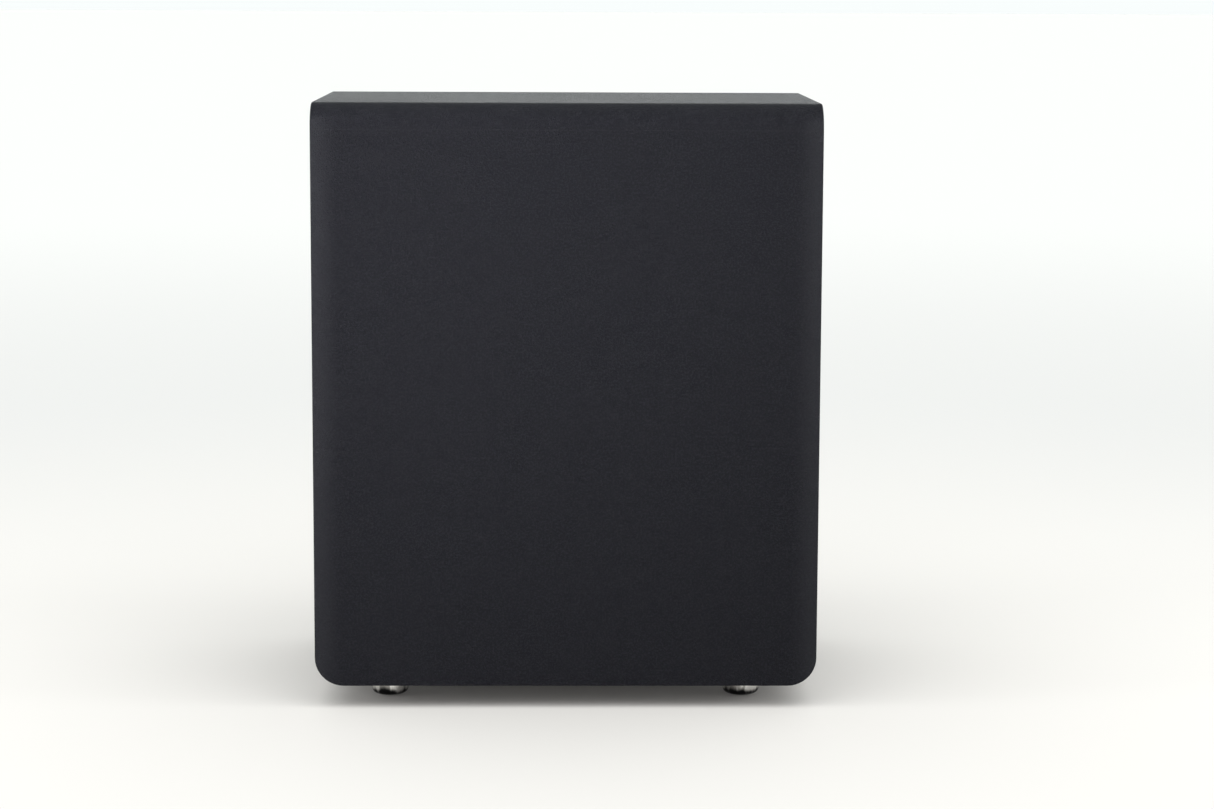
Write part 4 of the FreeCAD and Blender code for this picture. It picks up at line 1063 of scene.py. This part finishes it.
# small parts on the amplifier's board
boardShape = {
    "face": 0.0256,
    # place across, height, then the size
    "chips": ((-0.012, 0.300, 0.020, 0.0066), (0.014, 0.272, 0.010, 0.0066)),
    "chipDepths": (0.0042, 0.0008),
    "legPitch": 0.00254,
    "films": (
        (-0.024, 0.268, 0.0026), (-0.016, 0.268, 0.0026), (0.022, 0.300, 0.0034), (0.025, 0.312, 0.0026),
    ),
    "filmDepths": (0.0090, 0.0006),
    "filmHalf": 0.0035,
    "resistors": (
        (-0.026, 0.284), (-0.022, 0.284), (-0.018, 0.284), (-0.002, 0.284), (0.002, 0.284), (0.006, 0.284),
        (0.024, 0.284), (0.028, 0.272), (-0.004, 0.268), (0.000, 0.268), (-0.060, 0.272), (0.060, 0.272),
    ),
    "resistorLift": 0.0016,
    "resistorBody": (
        (-0.0032, 0.0), (-0.0032, 0.0010, 0.0004), (-0.0022, 0.0011), (-0.0018, 0.0009), (0.0018, 0.0009),
        (0.0022, 0.0011), (0.0032, 0.0010, 0.0004), (0.0032, 0.0),
    ),
    "resistorWire": ((-0.0050, 0.0), (-0.0050, 0.0003), (0.0050, 0.0003), (0.0050, 0.0)),
    "smallCans": (
        (-0.006, 0.256, 0.0034), (0.006, 0.256, 0.0034), (-0.058, 0.290, 0.0028), (0.059, 0.290, 0.0028),
    ),
    "smallCanHeight": 0.0090,
}


def makeBoardParts():
    shape = boardShape
    form = bmesh.new()
    x = ampFace - shape["face"]
    chip, metal, film, resistor, can = range(5)
    high, low = shape["chipDepths"]
    for y, z, length, width in shape["chips"]:
        slab(form, (x - high, y - length / 2, z - width / 2), (x - low, y + length / 2, z + width / 2),
             0.0003, material=chip)
        legs = int(length / shape["legPitch"])
        for index in range(legs):
            place = y - length / 2 + (index + 0.5) * length / legs
            for side in (-1, 1):
                edge = z + side * (width / 2 + 0.0006)
                slab(form, (x - 0.0026, place - 0.00025, edge - 0.0003), (x, place + 0.00025, edge + 0.0003),
                     material=metal)
    high, low = shape["filmDepths"]
    half = shape["filmHalf"]
    for y, z, width in shape["films"]:
        slab(form, (x - high, y - half, z - width / 2), (x - low, y + half, z + width / 2), 0.0006, 3,
             material=film)
    for y, z in shape["resistors"]:
        centre = (x - shape["resistorLift"], y, z)
        lathe(form, shape["resistorBody"], centre, (0, 0, 1), 20, segments=3, material=resistor)
        lathe(form, shape["resistorWire"], centre, (0, 0, 1), 8, material=metal)
    high = shape["smallCanHeight"]
    for y, z, radius in shape["smallCans"]:
        body = [(0.0, 0.0), (0.0, radius, 0.0003), (high, radius, 0.0006), (high, radius * 0.8),
                (high - 0.0002, radius * 0.78), (high - 0.0002, 0.0)]
        lathe(form, body, (x, y, z), ampAxis, 36, segments=3, material=can)
    looks = ["partPlastic", "pinMetal", "filmBox", "resistorBody", "canSleeve"]
    fitted(finished(form, "boardParts", looks), "cabinet", "part_plastic")


# wadding: fluffy fibre pads stapled to the two large walls
waddingShape = {
    "wall": 0.096,
    "thickness": 0.0116,
    "spans": ((-0.139, 0.021), (0.039, 0.139)),
    "bottom": 0.047,
    "top": 0.390,
    "cell": 0.0045,
    "edgeRound": 0.014,
    "edgeShare": 0.35,
    "lump": 0.16,
    "lumpScales": (38, 95),
    "thinnest": 0.0012,
    # shares of the width and the height
    "staples": ((0.18, 0.08), (0.18, 0.5), (0.18, 0.92), (0.82, 0.08), (0.82, 0.5), (0.82, 0.92),
                (0.5, 0.29), (0.5, 0.71)),
    "stapleDip": 0.0055,
    "stapleReach": 0.017,
    "fill": 0.35,
}


def makeWaddingPad(name, side, x0, x1):
    shape = waddingShape
    width, height = x1 - x0, shape["top"] - shape["bottom"]
    form = bmesh.new()
    columns, rows = int(width / shape["cell"]), int(height / shape["cell"])
    bmesh.ops.create_grid(form, x_segments=columns, y_segments=rows, size=0.5)
    bmesh.ops.scale(form, vec=(width, height, 1), verts=form.verts)
    upright = Matrix.Rotation(math.pi / 2, 3, "X")
    bmesh.ops.rotate(form, cent=(0, 0, 0), matrix=upright, verts=form.verts)
    middle = Vector(((x0 + x1) / 2, side * shape["wall"], (shape["top"] + shape["bottom"]) / 2))
    bmesh.ops.translate(form, vec=middle, verts=form.verts)
    grown = bmesh.ops.extrude_face_region(form, geom=list(form.faces), use_keep_orig=True)
    front = [item for item in grown["geom"] if isinstance(item, bmesh.types.BMVert)]
    staples = [(x0 + width * a, shape["bottom"] + height * b) for a, b in shape["staples"]]
    large, small = shape["lumpScales"]
    for vert in front:
        x, z = vert.co.x, vert.co.z
        margin = min(x - x0, x1 - x, z - shape["bottom"], shape["top"] - z)
        part = min(1.0, max(0.0, margin / shape["edgeRound"]))
        crown = shape["edgeShare"] + (1 - shape["edgeShare"]) * math.sqrt(1 - (1 - part) ** 2)
        soft = noise.noise(Vector((x * large, side * 3.0, z * large)))
        soft += 0.5 * noise.noise(Vector((x * small, side, z * small)))
        dip = sum(math.exp(-((x - a) ** 2 + (z - b) ** 2) / shape["stapleReach"] ** 2) for a, b in staples)
        high = shape["thickness"] * crown * (1 - shape["lump"] + shape["lump"] * soft)
        vert.co.y -= side * max(shape["thinnest"], high - shape["stapleDip"] * min(1.0, dip))
    piece = finished(form, name, ["wadding"], 80.0)
    fitted(piece, "cabinet", "wadding", "wadding")


def makeWaddingPads():
    for side, where in ((-1, "Near"), (1, "Far")):
        for (x0, x1), end in zip(waddingShape["spans"], ("Driver", "Amp")):
            makeWaddingPad("wadding" + where + end, side, x0, x1)


makeGuard()
makeSurround()
makeSpider()
makeLeads()
print("driver pieces made")
makeKnob("levelKnob", -1, "level_control", "level_knob")
makeKnob("crossoverKnob", 1, "crossover_control", "crossover_knob")
makePanelPrint()
makeRockerMarks()
makeCapacitors()
makeBoardParts()
print("amplifier pieces made")
makeWaddingPads()
print("wadding made")


shot = {
    "lens": 88.0,
    "place": (-0.00945, -2.138, 0.503),
    "pitch": 8.106,
    "yaw": 1.056,
    "roll": 0.246,
}


def makeCamera():
    data = bpy.data.cameras.new("camera")
    data.lens = shot["lens"]
    data.sensor_width = 36.0
    data.clip_end = 50.0
    camera = bpy.data.objects.new("camera", data)
    bpy.context.collection.objects.link(camera)
    aim = Euler((math.radians(90 - shot["pitch"]), 0, math.radians(-shot["yaw"])))
    aim = aim.to_matrix().to_4x4()
    aim = aim @ Matrix.Rotation(math.radians(shot["roll"]), 4, "Z")
    camera.matrix_world = Matrix.Translation(shot["place"]) @ aim
    bpy.context.scene.camera = camera


studio = {
    "backdrop": (0.93, 0.97, 0.965),
    "backdropGlow": 1.02,
    "roomGlow": (0.08, 2.7),
    "roomDepths": (-0.3, 0.8),
    "roomHeights": (0.10, 0.45),
    "ceilingGlow": 1.02,
    "ceilingHeights": (0.3, 0.8),
    "skyAngle": 90.0,
    "skyTilt": (-42.0, 2.0),
    "skyPower": 1.80,
    "lamps": [
        # name, place, aimed at, width, height, power, spread
        ("frontSoftbox", (-0.42, -1.15, 0.90), (-0.06, -0.1, 0.58), 1.1, 0.60, 3.5, 42.0),
        ("leftStrip", (-1.5, -0.5, 0.5), (-0.2, 0.0, 0.05), 0.4, 0.8, 2.5, 120.0),
        ("edgeStrip", (-0.60, -1.3, 0.52), (-0.17, -0.15, 0.36), 0.22, 0.6, 3.0, 50.0),
        ("rightStrip", (1.5, -0.4, 0.5), (0.2, 0.0, 0.05), 0.4, 0.8, 2.3, 120.0),
        ("floorFill", (0.1, -1.5, 0.34), (0.0, -0.1, 0.0), 1.6, 0.5, 1.2, 150.0),
    ],
    "offFloor": ["frontSoftbox", "edgeStrip"],  # screened, so that the floor stays even
    "floorOnly": ["floorFill"],
    "floorSize": 240.0,
    "floorCloud": (0.70, 0.69, 0.68),
    "floorNear": (0.735, 0.712, 0.686),
    "floorFar": (0.678, 0.672, 0.661),
    "floorGlow": ((0.03, 0.029, 0.028), (0.15, 0.155, 0.15)),
    "glowStart": 0.9,
    "glowEnd": 4.5,
    "fadeStart": 0.3,
    "fadeEnd": 1.6,
}


def makeLamps():
    for name, place, aim, width, height, power, spread in studio["lamps"]:
        data = bpy.data.lights.new(name, "AREA")
        data.shape = "RECTANGLE"
        data.size = width
        data.size_y = height
        data.energy = power
        data.spread = math.radians(spread)
        lamp = bpy.data.objects.new(name, data)
        lamp.location = place
        lamp.rotation_euler = (Vector(aim) - Vector(place)).to_track_quat("-Z", "Y").to_euler()
        bpy.context.collection.objects.link(lamp)
    data = bpy.data.lights.new("sky", "SUN")
    data.angle = math.radians(studio["skyAngle"])
    data.energy = studio["skyPower"]
    lamp = bpy.data.objects.new("sky", data)
    tiltFront, tiltSide = studio["skyTilt"]
    lamp.rotation_euler = (math.radians(-tiltFront), math.radians(tiltSide), 0)
    lamp.visible_glossy = False  # it lights surfaces without a hot reflection
    bpy.context.collection.objects.link(lamp)


def makeWorld():
    # a pale backdrop, a dimmer room in front of it and some light from the ceiling
    world = bpy.data.worlds.new("studio")
    world.use_nodes = True
    tree = world.node_tree
    shade = Finish.__new__(Finish)
    shade.tree = tree
    direction = shade.node("ShaderNodeTexCoord", out="Generated")
    _, depth, height = shade.parts(direction)
    dim, bright = studio["roomGlow"]
    near = shade.steps(depth, *studio["roomDepths"]) * (1 - shade.steps(height, *studio["roomHeights"]))
    ceiling = shade.steps(height, *studio["ceilingHeights"]) * studio["ceilingGlow"]
    glow = dim + ceiling + (bright - dim) * near
    seen = shade.node("ShaderNodeLightPath", out="Is Camera Ray")
    strength = glow + (studio["backdropGlow"] - glow) * seen
    background = tree.nodes["Background"]
    background.inputs["Color"].default_value = (*studio["backdrop"], 1.0)
    plug(tree, background.inputs["Strength"], strength)
    bpy.context.scene.world = world


def makeFloor():
    form = bmesh.new()
    bmesh.ops.create_grid(form, x_segments=1, y_segments=1, size=studio["floorSize"] / 2)
    mesh = bpy.data.meshes.new("floor")
    form.to_mesh(mesh)
    form.free()
    floor = bpy.data.objects.new("floor", mesh)
    bpy.context.collection.objects.link(floor)
    look = Finish("paleFloor")
    here = look.place()
    reach = look.node("ShaderNodeVectorMath", {"operation": "LENGTH"}, {0: here}, out="Value")
    cloud = look.noise(here, 3.0, 3.0)
    fine = look.noise(here, 700.0, 2.0)
    fade = look.steps(reach, studio["fadeStart"], studio["fadeEnd"])
    tone = look.mix(studio["floorNear"], studio["floorFar"], fade)
    tone = look.mix(tone, studio["floorCloud"], cloud * 0.05)
    nearGlow, farGlow = studio["floorGlow"]
    shine = look.mix(nearGlow, farGlow, look.steps(reach, studio["glowStart"], studio["glowEnd"]))
    mesh.materials.append(look.set(
        colour=tone, roughness=0.50 + fine * 0.12, specular=0.0, emission=shine, glow=1.0,
    ))
    # screens keep the lamps for the large face off the floor, and the floor's fill off the face
    for state, lamps in (("EXCLUDE", studio["offFloor"]), ("INCLUDE", studio["floorOnly"])):
        screened = bpy.data.collections.new("screened" + state.title())
        screened.objects.link(floor)
        screened.collection_objects[0].light_linking.link_state = state
        for name in lamps:
            bpy.data.objects[name].light_linking.receiver_collection = screened


bpy.context.scene.view_settings.view_transform = "Standard"
makeCamera()
makeLamps()
makeWorld()
makeFloor()
print("studio ready")
